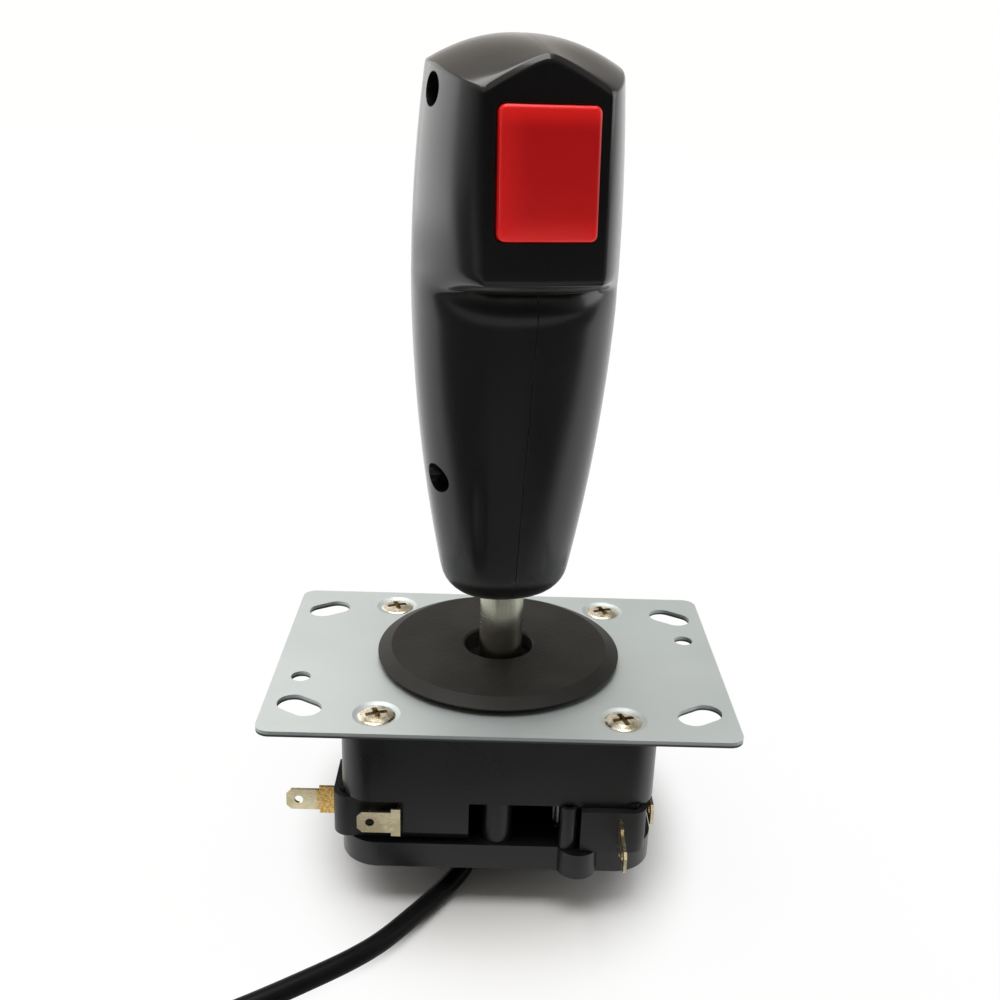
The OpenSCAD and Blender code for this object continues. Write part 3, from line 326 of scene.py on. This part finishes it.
tin = Finish("tinned_brass")
tin_flow = tin.noise(420.0, 3.0)
tin_speck = tin.noise(2400.0, 3.0)
tin_wavy = (tin.axis("X") + tin_flow * 0.002).band(-37.2 * MM, -36.0 * MM)
tin_bare = tin_wavy * tin.axis("X").band(-33.0 * MM, -31.0 * MM, 1.0, 0.0)
tin_coat = tin_flow.band(0.3, 0.7).colour(rgba(0.92, 0.82, 0.56), rgba(0.78, 0.67, 0.42))
tin_brass = tin_speck.band(0.4, 0.6).colour(rgba(0.95, 0.66, 0.24), rgba(0.60, 0.38, 0.11))
tin_lines = tin.noise(1.0, 2.0, tin.stretched(900.0, 900.0, 5200.0), 0.6)
dress(tin.set(
    base_color=tin_bare.colour(tin_coat, tin_brass),
    metallic=1.0,
    roughness=(tin_flow * 0.5 + tin_lines * 0.5).band(0.3, 0.7, 0.20, 0.38),
    normal=tin.bump(tin_lines, 7e-6)),
    "switch_terminals_front", "switch_terminals_right", "switch_terminals_rear", "switch_terminals_left",
    "trigger_terminals")

spring_steel = Finish("spring_steel")
steel_lines = spring_steel.noise(1.0, 2.0, spring_steel.stretched(1200.0, 1200.0, 6000.0), 0.6)
dress(spring_steel.set(
    base_color=steel_lines.colour(rgba(0.16, 0.16, 0.155), rgba(0.24, 0.24, 0.23)),
    metallic=1.0,
    roughness=steel_lines.band(0.3, 0.7, 0.30, 0.44),
    normal=spring_steel.bump(steel_lines, 6e-6)),
    "switch_lever_front", "switch_lever_right", "switch_lever_rear", "switch_lever_left", "retaining_clip",
    "return_spring")

plunger = Finish("plunger_red")
plunger_cloud = plunger.noise(700.0, 2.0)
dress(plunger.set(
    base_color=plunger_cloud.colour(rgba(0.42, 0.025, 0.025), rgba(0.50, 0.035, 0.03)),
    roughness=plunger_cloud.band(0.3, 0.7, 0.36, 0.5)),
    "switch_plunger_front", "switch_plunger_right", "switch_plunger_rear", "switch_plunger_left")

# Pivot
# White nylon pieces turned and moulded: the ball on the shaft, the split liner round it, and the ring that
# closes the socket from below.
nylon = Finish("nylon_white")
nylon_cloud = nylon.noise(160.0, 3.0)
dress(nylon.set(
    base_color=nylon_cloud.colour(rgba(0.70, 0.68, 0.61), rgba(0.80, 0.79, 0.73)),
    roughness=nylon_cloud.band(0.3, 0.7, 0.36, 0.5),
    normal=nylon.bump(nylon.noise(2200.0, 2.0), 8e-6)),
    "pivot_retainer", "pivot_liner", "pivot_ball", "trigger_plunger", "cable_connector")

# Shaft
# A hollow steel rod, turned and polished, with fine rings left by the lathe. It carries the ball and the
# grip, and the lead runs down its bore.
steel = Finish("turned_steel")
steel_rings = steel.noise(1.0, 3.0, steel.stretched(60.0, 60.0, 5200.0), 0.65)
steel_cloud = steel.noise(150.0, 3.0)
dress(steel.set(
    base_color=steel_cloud.colour(rgba(0.58, 0.56, 0.46), rgba(0.68, 0.66, 0.56)),
    metallic=1.0,
    roughness=(steel_rings * 0.6 + steel_cloud * 0.4).band(0.3, 0.7, 0.18, 0.28),
    normal=steel.bump(steel_rings, 4e-6)), "shaft")

# Dust washer
# A moulded black disc that lies loose on the plate and hides its hole. Its top has a leather-like grain and
# its bevelled rim is smooth and dull.
washer = Finish("washer_black")
washer_side, washer_offset = -0.4 * MM, 1.7 * MM
washer_out = washer.round_the_axis(washer_side, washer_offset)
washer_flat = washer_out.band(23.5 * MM, 24.0 * MM, 1.0, 0.0)
washer_cells = washer.place.node("TexVoronoi", {"feature": "SMOOTH_F1"},
                                 {"Vector": washer.place, "Scale": 1300.0}, "Distance")
washer_fine = washer.noise(2400.0, 3.0)
washer_dust = washer.noise(90.0, 4.0)
dress(washer.set(
    base_color=washer_dust.band(0.35, 0.7).colour(rgba(0.0085, 0.0075, 0.006), rgba(0.017, 0.015, 0.012)),
    roughness=washer_flat.band(0.0, 1.0, 0.50, 0.58),
    specular_ior_level=0.24,
    normal=washer.bump((washer_cells * 0.6 + washer_fine * 0.4) * washer_flat, 70e-6)), "dust_washer")

# Grip
# Two hollow halves moulded in satin black plastic and screwed together from the left. The head steps out
# over the hand as a flat dark face under a bevelled gable, and its roof rises behind to a low crown.
satin = Finish("grip_black")
satin_grain = satin.noise(2600.0, 3.0)
satin_cloud = satin.noise(45.0, 3.0)
satin_finish = satin.set(
    base_color=satin_cloud.colour(rgba(0.0035, 0.0035, 0.0037), rgba(0.0060, 0.0060, 0.0062)),
    roughness=satin_cloud.band(0.3, 0.7, 0.16, 0.21) + satin.axis("Z").band(59.0 * MM, 70.0 * MM, 0.22, 0.0),
    sheen_weight=0.22,
    sheen_roughness=0.35,
    normal=satin.bump(satin_grain, 7e-6))

grip_z, grip_turn = 58.4, math.radians(12.0)
foot_w, belly_w, belly_h, crown_w = 24.4, 40.0, 71.6, 36.0
foot_round, foot_front, foot_back, belly_back = 6.0, 11.0, 12.0, 18.0
ledge_front, ledge_h, ledge_rise, flank_rise = 22.7, 67.3, 2.4, 8.0
hollow_depth, hollow_h, hollow_power = 2.0, 6.6, 2.3
face_front, face_lean, face_half, peak_h = 22.7, math.radians(3.3), 10.9, 107.4
eave_h, shoulder_h, grip_h = 102.3, 105.6, 111.6
low_power, flank_power, back_power = 2.1, 1.45, 2.2
roof_level, ridge_fall, side_fall = 104.0, 3.6, 5.75
grip_wall = 2.4


def smooth_step(t):
    t = np.clip(t, 0.0, 1.0)
    return t * t * (3 - 2 * t)


def grid_faces(rows, columns, closed):
    """Quads of a grid of points, counted row by row; closed joins the last column to the first."""
    wide = columns if closed else columns - 1
    i, j = np.meshgrid(np.arange(rows - 1), np.arange(wide), indexing="ij")
    a = i * columns + j
    b = i * columns + (j + 1) % columns
    return np.stack([a, b, b + columns, a + columns], axis=-1).reshape(-1, 4)


def put_mesh(name, points, faces, finish, smooth_angle=40.0):
    """A closed piece from points in millimetres and its faces, turned outwards and smooth up to an angle."""
    mesh = bpy.data.meshes.new(name)
    mesh.from_pydata((np.asarray(points) * MM).tolist(), [], faces)
    shape = bmesh.new()
    shape.from_mesh(mesh)
    bmesh.ops.recalc_face_normals(shape, faces=shape.faces)
    shape.to_mesh(mesh)
    shape.free()
    if finish:
        mesh.materials.append(finish)
    mesh.shade_smooth()
    mesh.set_sharp_from_angle(angle=math.radians(smooth_angle))
    piece = bpy.data.objects.new(name, mesh)
    bpy.context.scene.collection.objects.link(piece)
    return piece


def in_grip(u, v, h):
    """A point of the grip in millimetres: u to its right, v towards the user and h up from its foot. The grip
    is turned about the shaft and stands above the plate."""
    c, s = math.cos(grip_turn), math.sin(grip_turn)
    return np.stack([u * c + v * s, u * s - v * c, h + grip_z], axis=-1)


def foot_inset(h):
    """The rounding of the foot: a quarter circle."""
    low = np.clip(foot_round - h, 0, foot_round)
    return foot_round - np.sqrt(foot_round ** 2 - low ** 2)


def side_reach(h):
    """Half the width at a height: two parabolas that meet at the belly."""
    low = (belly_h - h) / belly_h
    high = (h - belly_h) / (shoulder_h - belly_h)
    to_foot = (belly_w - foot_w) / 2 * low ** 2
    to_crown = (belly_w - crown_w) / 2 * high ** 2
    return belly_w / 2 - np.where(h < belly_h, to_foot, to_crown)


def face_reach(h):
    """How far forward the face lies at a height: a straight line that leans back."""
    return face_front + (peak_h - h) * math.tan(face_lean)


def middle_reach(h):
    """Where the grip is widest: a fixed reach up to the belly, and then forward in step with the height."""
    return 1 + 3 * np.clip((h - belly_h) / (shoulder_h - belly_h), 0, 1)


def back_reach(h):
    """How far back the grip reaches at a height: a parabola with its top at the belly."""
    return belly_back - (belly_back - foot_back) * ((h - belly_h) / belly_h) ** 2


def grip_outline(part, h, inset=0.0):
    """The outline of one half at a height. Part goes from 0 at the front seam over 1 at the edge of the face
    and 2 at the side to 3 at the back seam. Below the ledge it is a rounded form whose front is hollowed by a
    power curve, and above it a flat face with bowed flanks. Each stretch is a quarter of a superellipse, and
    the lower form goes over to the upper one in a smooth step, which makes the round lip of the ledge. On the
    flank that step grows longer, so that the ledge fades out towards the side."""
    cut = foot_inset(h) + inset
    side = side_reach(h) - cut
    middle = middle_reach(h)
    hollow = hollow_depth * np.clip(1 - (ledge_h - h) / hollow_h, 0, 1) ** hollow_power
    front = foot_front + (ledge_front - foot_front) * h / ledge_h - hollow - cut
    head = face_reach(h) - inset
    back = back_reach(h) - cut
    on_face, on_flank = np.clip(part, 0, 1), np.clip(part - 1, 0, 1)
    on_back = np.clip(part - 2, 0, 1) * math.pi / 2
    low_turn = np.radians(35 * on_face + 55 * on_flank)
    low_u = side * np.sin(low_turn) ** (2 / low_power)
    low_v = middle + (front - middle) * np.cos(low_turn) ** (2 / low_power)
    bow = on_flank * math.pi / 2
    narrow = 0.2 * np.clip((eave_h - h) / (eave_h - ledge_h), 0, 1) ** 1.5
    flat = np.minimum(face_half - narrow, side - 0.4) * (1 - inset / 12)
    head_u = flat * on_face + (side - flat) * np.sin(bow) ** (2 / flank_power)
    head_v = middle + (head - middle) * np.maximum(np.cos(bow), 0) ** (2 / flank_power)
    fade = flank_rise * on_flank
    mixed = smooth_step((h - ledge_h - inset + 0.5 * fade) / (ledge_rise + fade))
    u = low_u * (1 - mixed) + head_u * mixed
    v = low_v * (1 - mixed) + head_v * mixed
    behind = part > 2
    u = np.where(behind, side * np.maximum(np.cos(on_back), 0) ** (2 / back_power), u)
    v = np.where(behind, middle - (middle + back) * np.sin(on_back) ** (2 / back_power), v)
    return u, v


def roof_height(u, v):
    """The roof above a place in plan: a ridge that falls to the gable in front and rolls over at the back,
    less a fall to each side that is straight at the gable and arched behind it."""
    level = np.float64(roof_level)
    middle = float(middle_reach(level))
    side = float(side_reach(level))
    back = float(back_reach(level))
    ahead = np.clip((v - middle) / (face_front - middle), 0, 1)
    behind = np.clip((middle - v) / (middle + back), 0, 1)
    flank_wide = face_half + (side - face_half) * (1 - ahead ** flank_power) ** (1 / flank_power)
    back_wide = side * np.maximum(1 - behind ** back_power, 1e-6) ** (1 / back_power)
    wide = np.where(v > middle, flank_wide, back_wide)
    roll = np.maximum(1 - np.clip(-v / back, 0, 1) ** back_power, 0) ** (1 / back_power)
    front_ridge = grip_h - ridge_fall * (np.maximum(v, 0) / 21) ** 1.7
    ridge = np.where(v > 0, front_ridge, eave_h + (grip_h - eave_h) * roll)
    fall = np.where(v > 0, side_fall, side_fall * roll)
    bend = 2 - 0.85 * smooth_step((v - 4) / 17)
    across = np.clip(np.sqrt(u ** 2 + 0.6) - math.sqrt(0.6), 0, None) / np.maximum(wide, 0.5)
    return ridge - fall * np.clip(across, 0, 1.1) ** bend


def grip_half_points():
    """One half as a grid: the rows go from the middle of the foot up the wall, over the edge of the roof and
    in to the seam, and the columns from the front seam round to the back seam. The edge is a quadratic curve
    whose control point is where wall and roof would meet, and along the gable it is drawn into a chamfer."""
    part = np.concatenate([np.linspace(0, 1, 25)[:-1] ** 0.9, 1 + np.linspace(0, 1, 45)[:-1] ** 1.35,
                           2 + np.linspace(0, 1, 41)])
    edge_h = np.full(part.shape, roof_level)
    for _ in range(8):
        u, v = grip_outline(part, edge_h)
        edge_h = roof_height(u, v)
    gable = 1 - smooth_step((part - 0.95) / 0.25)
    bevel = 0.45 + 0.25 * gable
    foot_rows = foot_round * (1 - np.cos(np.radians(np.linspace(0, 90, 10))))
    lip_rows = ledge_h + ledge_rise * np.linspace(0, 1, 19)
    wall_rows = np.concatenate([foot_rows, np.linspace(foot_round, ledge_h - hollow_h, 44)[1:],
                                np.linspace(ledge_h - hollow_h, ledge_h, 22)[1:], lip_rows[1:],
                                np.linspace(ledge_h + ledge_rise, 96, 30)[1:]])
    share = np.linspace(0, 1, 14)[1:]
    heights = np.concatenate([np.repeat(wall_rows[:, None], len(part), axis=1),
                              96 + share[:, None] * (edge_h - bevel - 96)[None, :]])
    wall_u, wall_v = grip_outline(np.broadcast_to(part, heights.shape), heights)
    edge_u, edge_v = grip_outline(part, edge_h)
    inner_v = np.interp(part, [0, 1, 2, 3], [17.5, 9.0, 2.0, float(back_reach(np.float64(96.0))) * -0.8])
    span = np.hypot(edge_u, edge_v - inner_v)
    start = np.minimum(bevel / np.maximum(span, 1e-6), 0.6)
    go = start + (1 - start) * np.linspace(0, 1, 34)[:, None] ** 0.85
    roof_u = edge_u * (1 - go)
    roof_v = edge_v + (inner_v - edge_v) * go
    roof_h = roof_height(roof_u, roof_v)
    t = np.linspace(0, 1, 9)[1:-1, None]
    pull = 1 - 0.92 * gable
    curve = [(1 - t) * a + t * c + t * (1 - t) * pull * (2 * b - a - c) for a, b, c in (
        (wall_u[-1], edge_u, roof_u[0]), (wall_v[-1], edge_v, roof_v[0]), (heights[-1], edge_h, roof_h[0]))]
    foot_share = np.linspace(0, 1, 5)[:-1, None]
    foot_u = wall_u[0] * foot_share
    foot_v = wall_v[0] * foot_share + (1 - foot_share) * np.interp(part, [0, 3], [2, -2])
    u = np.concatenate([foot_u, wall_u, curve[0], roof_u])
    v = np.concatenate([foot_v, wall_v, curve[1], roof_v])
    h = np.concatenate([np.zeros_like(foot_u), heights, curve[2], roof_h])
    return u, v, h


def half_solid(name, u, v, h, side, finish):
    """A closed half: the grid, and a flat wall in the plane of the seam that joins its four borders. The gap
    between the halves is a quarter of a millimetre up to the ledge and hardly open above it."""
    seam_half = 0.12 - 0.09 * smooth_step((h - ledge_h) / 4)
    points = in_grip(side * (u + seam_half), v, h)
    rows, columns = u.shape
    faces = grid_faces(rows, columns, False)
    index = np.arange(rows * columns).reshape(rows, columns)
    rim = np.concatenate([index[:, 0], index[-1, 1:], index[-2::-1, -1], index[0, -2:0:-1]])
    wall = [rim.tolist()]
    if side < 0:
        faces = faces[:, ::-1]
        wall = [rim[::-1].tolist()]
    return put_mesh(name, points.reshape(-1, 3), faces.tolist() + wall, finish, 50.0)


def rounded_outline(width, height, radius, inset=0.0, per_corner=9):
    """Points round a rectangle with round corners, drawn in by an inset: four quarter circles in turn."""
    r = max(radius - inset, 0.05)
    corner = np.array([(1, 1), (-1, 1), (-1, -1), (1, -1)])
    centre = corner * (np.array([width, height]) / 2 - inset - r)
    turn = np.radians(np.arange(4)[:, None] * 90 + np.linspace(0, 90, per_corner)[None, :])
    ring = np.stack([np.cos(turn), np.sin(turn)], axis=-1) * r + centre[:, None, :]
    return ring.reshape(-1, 2)


def on_face(x, depth, z):
    """A point on the button's axes: x across the face, depth into the grip and z up the face."""
    lean_c, lean_s = math.cos(face_lean), math.sin(face_lean)
    v = face_reach(button_mid) - (depth * lean_c + z * lean_s)
    return x, v, button_mid + z * lean_c - depth * lean_s


def ringed(name, rings, finish=None):
    """A closed body through rings of points, each with the same count, with a flat cap at both ends."""
    rings = np.stack(rings)
    count, sides = rings.shape[:2]
    walls = grid_faces(count, sides, True).tolist()
    caps = [list(range(sides - 1, -1, -1)), list(range((count - 1) * sides, count * sides))]
    return put_mesh(name, rings.reshape(-1, 3), walls + caps, finish, 50.0)


def face_prism(name, width, height, radius, near, far):
    """A rounded rectangle pushed straight into the face, between two depths."""
    ring = rounded_outline(width, height, radius)
    rings = [in_grip(*on_face(ring[:, 0], np.full(len(ring), depth), ring[:, 1])) for depth in (near, far)]
    return ringed(name, rings)


def cross_rod(name, v, h, radius, start, end):
    """A round rod across the grip, from one reach to another along u."""
    turn = np.linspace(0, 2 * np.pi, 48, endpoint=False)
    return ringed(name, [in_grip(np.full(48, x), v + radius * np.cos(turn), h + radius * np.sin(turn))
                         for x in (start, end)])


def cut_away(piece, cutters):
    """Takes the cutters out of a piece for good."""
    for cutter in cutters:
        cut = piece.modifiers.new("cut", "BOOLEAN")
        cut.operation = "DIFFERENCE"
        cut.solver = "EXACT"
        cut.object = cutter
    bpy.context.view_layer.update()
    shaped = bpy.data.meshes.new_from_object(piece.evaluated_get(bpy.context.evaluated_depsgraph_get()))
    piece.modifiers.clear()
    piece.data = shaped
    shaped.set_sharp_from_angle(angle=math.radians(38.0))


button_mid = eave_h - 2.7 - 11.2
button_w, button_h, button_corner, button_gap = 17.6, 22.4, 1.2, 0.35
screw_places = ((7.2, 28.4), (8.6, eave_h - 0.8))
recess_r, recess_depth = 3.0, 9.0
half_u, half_v, half_h = grip_half_points()
turn_round = np.linspace(0, 2 * np.pi, 64, endpoint=False)
bore_r = 4.8
bore_u, bore_v = bore_r * np.cos(turn_round), bore_r * np.sin(turn_round)
shaft_bore = ringed("shaft_bore", [in_grip(bore_u, bore_v, np.full(64, h)) for h in (-2.0, 46.0)])
window = face_prism("window", button_w + 2 * button_gap, button_h + 2 * button_gap,
                    button_corner + button_gap, -6.0, grip_wall + 1)
pocket = face_prism("pocket", button_w + 2.6, button_h + 2.6, button_corner, grip_wall, 7.4)
hollow_part = np.linspace(0, 3, 61)
hollow_rings = []
hollow_lip = ledge_h + grip_wall + np.array([0, 0.6, 1.2, 1.8, 2.4])
for ring_h in np.concatenate([np.linspace(38, ledge_h, 10), hollow_lip, [80, 88, 96.5]]):
    hollow_u, hollow_v = grip_outline(hollow_part, np.full(61, ring_h), grip_wall)
    hollow_rings.append(in_grip(np.concatenate([hollow_u, -hollow_u[-2:0:-1]]),
                                np.concatenate([hollow_v, hollow_v[-2:0:-1]]), np.full(120, ring_h)))
hollow = ringed("hollow", hollow_rings)
cutters = [shaft_bore, window, pocket, hollow]
screw_way_r, screw_end = 1.55, 9.0
for screw_v, screw_h in screw_places:
    flank = float(side_reach(np.float64(screw_h)))
    cutters.append(cross_rod("recess", screw_v, screw_h, recess_r, -flank - 5, recess_depth - flank))
    cutters.append(cross_rod("screw_way", screw_v, screw_h, screw_way_r, -flank, screw_end))
grip_sides = ((-1, "grip_shell_left", "grip_left"), (1, "grip_shell_right", "grip_right"))
for side, shell_name, replaced in grip_sides:
    shell = half_solid(shell_name, half_u, half_v, half_h, side, satin_finish)
    cut_away(shell, cutters)
    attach(shell, "stick")
    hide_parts(replaced)
for cutter in cutters:
    bpy.data.objects.remove(cutter)

# Trigger
# A red push button, a smooth moulding with softly rounded edges, a stop flange behind the face and a stem
# that reaches a small snap switch inside the head. Its top, bottom and left edges and its lower half are
# painted paler as a highlight where light falls on them.
button_red = Finish("button_red")
button_cloud = button_red.noise(120.0, 3.0)
button_across = button_red.axis("X") * math.cos(grip_turn) + button_red.axis("Y") * math.sin(grip_turn)
# Painted highlight: paler at the top, bottom and left edges and a little over the lower half, with a faint
# random tone.
button_high = button_red.axis("Z") - (grip_z + button_mid) * MM
button_lit_top = button_high.band(7.0 * MM, 11.0 * MM, 1.0, 0.0)
button_lit_foot = button_high.band(-11.0 * MM, -6.0 * MM, 0.1, 1.0)
button_lit_left = button_across.band(-9.0 * MM, -3.0 * MM, 0.45, 1.0)
button_lit_low = button_high.band(-9.0 * MM, 4.0 * MM, 0.8, 1.0)
button_unlit_middle = button_lit_top * button_lit_foot * button_lit_left * button_lit_low
button_painted_light_and_tone = 1 - button_unlit_middle * 0.94 - button_cloud * 0.06
button_finish = button_red.set(
    base_color=button_painted_light_and_tone.colour(rgba(0.57, 0.005, 0.007), rgba(1.0, 0.020, 0.018)),
    roughness=button_cloud.band(0.3, 0.7, 0.30, 0.33),
    specular_ior_level=0.30,
    normal=button_red.bump(button_red.noise(1800.0, 2.0), 5e-6))
button_proud, button_edge, button_drop, flange_out = 2.6, 0.6, 0.3, 0.8
flange_front, flange_back = grip_wall + button_gap, grip_wall + button_gap + 1.2
edge_turn = np.radians(np.linspace(0, 90, 8))
stations = [(0.0, flange_back), (-flange_out, flange_back), (-flange_out, flange_front),
            (-0.02, flange_front), (0.0, flange_front - 0.05)]
stations += [(button_edge * (1 - math.cos(a)), button_drop - button_proud + button_edge * (1 - math.sin(a)))
             for a in edge_turn[:-2]]
pillow_reach, pillow_power = 4.5, 2.2
stations += [(inset, button_drop * (1 - inset / pillow_reach) ** pillow_power - button_proud)
             for inset in np.linspace(0.45, 4.4, 14)]
stations += [(inset, -button_proud) for inset in (6.0, 7.6)]
stem = rounded_outline(4.0, 4.0, 2.0)
button_rings = [in_grip(*on_face(stem[:, 0], np.full(len(stem), depth), stem[:, 1]))
                for depth in (flange_back + 2.2, flange_back)]
for inset, depth in stations:
    outline = rounded_outline(button_w, button_h, button_corner, inset)
    button_rings.append(in_grip(*on_face(outline[:, 0], np.full(len(outline), depth), outline[:, 1])))
button = ringed("button_cap", button_rings, button_finish)
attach(button, "trigger")
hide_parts("trigger_button")

# Cable
# A limp black lead with a dull smooth sheath, four millimetres thick. It comes down the hollow shaft, leaves
# the base through a soft bush in the gate, runs over the table, and its spare length lies in a tied coil.
sheath = Finish("cable_black")
sheath_cloud = sheath.noise(260.0, 3.0)
sheath_finish = sheath.set(
    base_color=sheath_cloud.colour(rgba(0.004, 0.004, 0.0045), rgba(0.008, 0.008, 0.0085)),
    roughness=sheath_cloud.band(0.3, 0.7, 0.30, 0.42),
    specular_ior_level=0.08,
    normal=sheath.bump(sheath.noise(1500.0, 2.0), 8e-6))
rubber = Finish("soft_rubber")
rubber_cloud = rubber.noise(300.0, 3.0)
dress(rubber.set(
    base_color=rubber_cloud.colour(rgba(0.012, 0.012, 0.012), rgba(0.020, 0.020, 0.020)),
    roughness=rubber_cloud.band(0.3, 0.7, 0.52, 0.66),
    normal=rubber.bump(rubber.noise(2600.0, 2.0), 9e-6)), "cable_grommet", "cable_tie")
dress(sheath_finish, "trigger_leads")

cable_r = 2.0
coil_x, coil_y, coil_inner, coil_outer, coil_low = -50.0, -93.0, 20.0, 24.0, 2.9
route_out = np.array([
    (-3.9, -13, 2.1), (-5.4, -18, 2.1), (-7.2, -23.5, 2), (-9.6, -28, 2), (-12.3, -32.2, 2), (-17, -38.8, 2),
    (-22.3, -45.6, 2), (-28.4, -51.2, 2), (-35, -56, 2), (-42.6, -61.2, 2), (-50, -66, 2), (-57, -71, 2),
    (-63.4, -76.6, 2.2), (-68.8, -82.6, 2.5), (-72.4, -88, 2.8)])
route_end = np.array([
    (-53.4, -73.7, 2.8), (-56.4, -75.6, 2.6), (-58.3, -78.6, 2.4), (-59, -82, 2.2), (-59, -86, 2.2)])


def coil_route():
    """One lap at the outside, a climb over the place between two laps, one lap on top, a drop and one lap
    inside. A climb or drop goes round the neighbouring lap at one cable's distance, by an angle that eases in
    and out."""
    turn = np.arange(180.0, 1171.0, 9.0)
    climb = np.radians(60) * smooth_step((turn - 495) / 45)
    drop = np.radians(60) * (1 - smooth_step((turn - 810) / 45))
    on_top = turn < 810
    out = np.where(on_top, coil_inner + 2 * cable_r * np.cos(climb), coil_outer - 2 * cable_r * np.cos(drop))
    height = coil_low + 2 * cable_r * np.where(on_top, np.sin(climb), np.sin(drop))
    angle = np.radians(turn)
    return np.stack([coil_x + out * np.cos(angle), coil_y + out * np.sin(angle), height], axis=1)


def smooth_route(points, step):
    """A natural cubic through the points by chord length, read off at even steps. The bends at the points
    solve one set of linear equations that makes the slope and the bend run on through every point."""
    chord = np.linalg.norm(np.diff(points, axis=0), axis=1)
    along = np.concatenate([[0.0], np.cumsum(chord)])
    n = len(points)
    rows = np.eye(n)
    inner = np.arange(1, n - 1)
    rows[inner, inner - 1] = chord[:-1]
    rows[inner, inner] = 2 * (chord[:-1] + chord[1:])
    rows[inner, inner + 1] = chord[1:]
    slope = np.diff(points, axis=0) / chord[:, None]
    right_side = np.zeros_like(points)
    right_side[1:-1] = 6 * np.diff(slope, axis=0)
    bend = np.linalg.solve(rows, right_side)
    at = np.linspace(0, along[-1], int(along[-1] / step) + 1)
    k = np.clip(np.searchsorted(along, at, side="right") - 1, 0, n - 2)
    h = chord[k][:, None]
    a = (along[k + 1] - at)[:, None]
    b = (at - along[k])[:, None]
    return (bend[k] * a ** 3 + bend[k + 1] * b ** 3) / (6 * h) + (points[k] / h - bend[k] * h / 6) * a + (
        points[k + 1] / h - bend[k + 1] * h / 6) * b


def swept_tube(name, path, radius, sides, reference, finish):
    """A circle carried along a path: at each point it lies across the path, turned to a reference direction.
    Both ends are closed by a flat cap."""
    ahead = np.gradient(path, axis=0)
    ahead /= np.linalg.norm(ahead, axis=1)[:, None]
    side = np.cross(ahead, reference)
    side /= np.linalg.norm(side, axis=1)[:, None]
    over = np.cross(side, ahead)
    turn = np.linspace(0, 2 * np.pi, sides, endpoint=False)
    ring = np.cos(turn)[None, :, None] * side[:, None, :] + np.sin(turn)[None, :, None] * over[:, None, :]
    points = (path[:, None, :] + radius * ring).reshape(-1, 3)
    walls = grid_faces(len(path), sides, True).tolist()
    caps = [list(range(sides - 1, -1, -1)), list(range((len(path) - 1) * sides, len(path) * sides))]
    return put_mesh(name, points, walls + caps, finish)


cable_path = smooth_route(np.concatenate([route_out, coil_route(), route_end]), 0.8)
cable_lift = 0.02
cable_path[:, 2] = np.maximum(cable_path[:, 2], cable_r + cable_lift)
cable = swept_tube("cable_lead", cable_path, cable_r, 20, np.array([0.0, 0.0, 1.0]), sheath_finish)
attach(cable, "base")
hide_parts("cable", "cable_coil")
(cable_path[0] * MM).tolist()
(cable_path * MM).tolist()

# Cable inside the base
# The lead drops out of the shaft and turns to the bush in a quarter of an ellipse, made as a lower and an
# upper run.
tail_low, tail_rise, tail_reach, tail_middle = 2.1, 9.3, 8.0, 7.0
tail_turn = np.radians(np.linspace(0, 90, 33))[:, None]
tail_way = math.radians(253.3)
tail_aim = np.array([math.cos(tail_way), math.sin(tail_way), 0.0])
tail_up = np.array([0.0, 0.0, 1.0])
tail_path = tail_aim * tail_reach * (1 - np.cos(tail_turn)) + tail_up * (
    tail_low + tail_rise * (1 - np.sin(tail_turn)))
tail_path = np.concatenate([tail_path, route_out[:1]])
tail_split = int(np.argmin(np.abs(tail_path[:, 2] - tail_middle)))
for run_name, run_path, near_body, far_body, bend_from, bend_to in (
        ("cable_bend", tail_path[tail_split:], "base", "swivel", 2.4, 6.0),
        ("cable_riser", tail_path[:tail_split + 1], "swivel", "stick", 8.0, 11.3)):
    run = swept_tube(run_name, run_path, cable_r, 20, np.cross(tail_aim, tail_up), sheath_finish)
    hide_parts("cable_tail")
    bend_from * MM
    bend_to * MM
    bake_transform(run)

# Return spring
# Five turns of steel wire between the retainer and the cup of the actuator, made as an upper and a lower
# part.
spring_r, spring_wire, spring_turns = 7.6, 0.55, 5
spring_foot, spring_rise, spring_middle = 19.05, 8.65, 25.25
spring_steps = 28 * spring_turns
spring_share = np.linspace(0, 1, spring_steps + 1)
spring_turn = 2 * np.pi * spring_turns * spring_share
spring_path = np.stack([spring_r * np.cos(spring_turn), spring_r * np.sin(spring_turn),
                        spring_foot + spring_rise * spring_share], axis=1)
spring_split = int(spring_steps * (spring_middle - spring_foot) / spring_rise)
for coil_name, coil_path, near_body, far_body, bend_from, bend_to in (
        ("spring_upper", spring_path[spring_split:], "base", "swivel", 27.3, 25.85),
        ("spring_lower", spring_path[:spring_split + 1], "swivel", "stick", 24.65, 23.5)):
    coil = swept_tube(coil_name, coil_path, spring_wire, 10, tail_up, spring_steel.material)
    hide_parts("return_spring")
    bend_from * MM
    bend_to * MM
    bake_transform(coil)
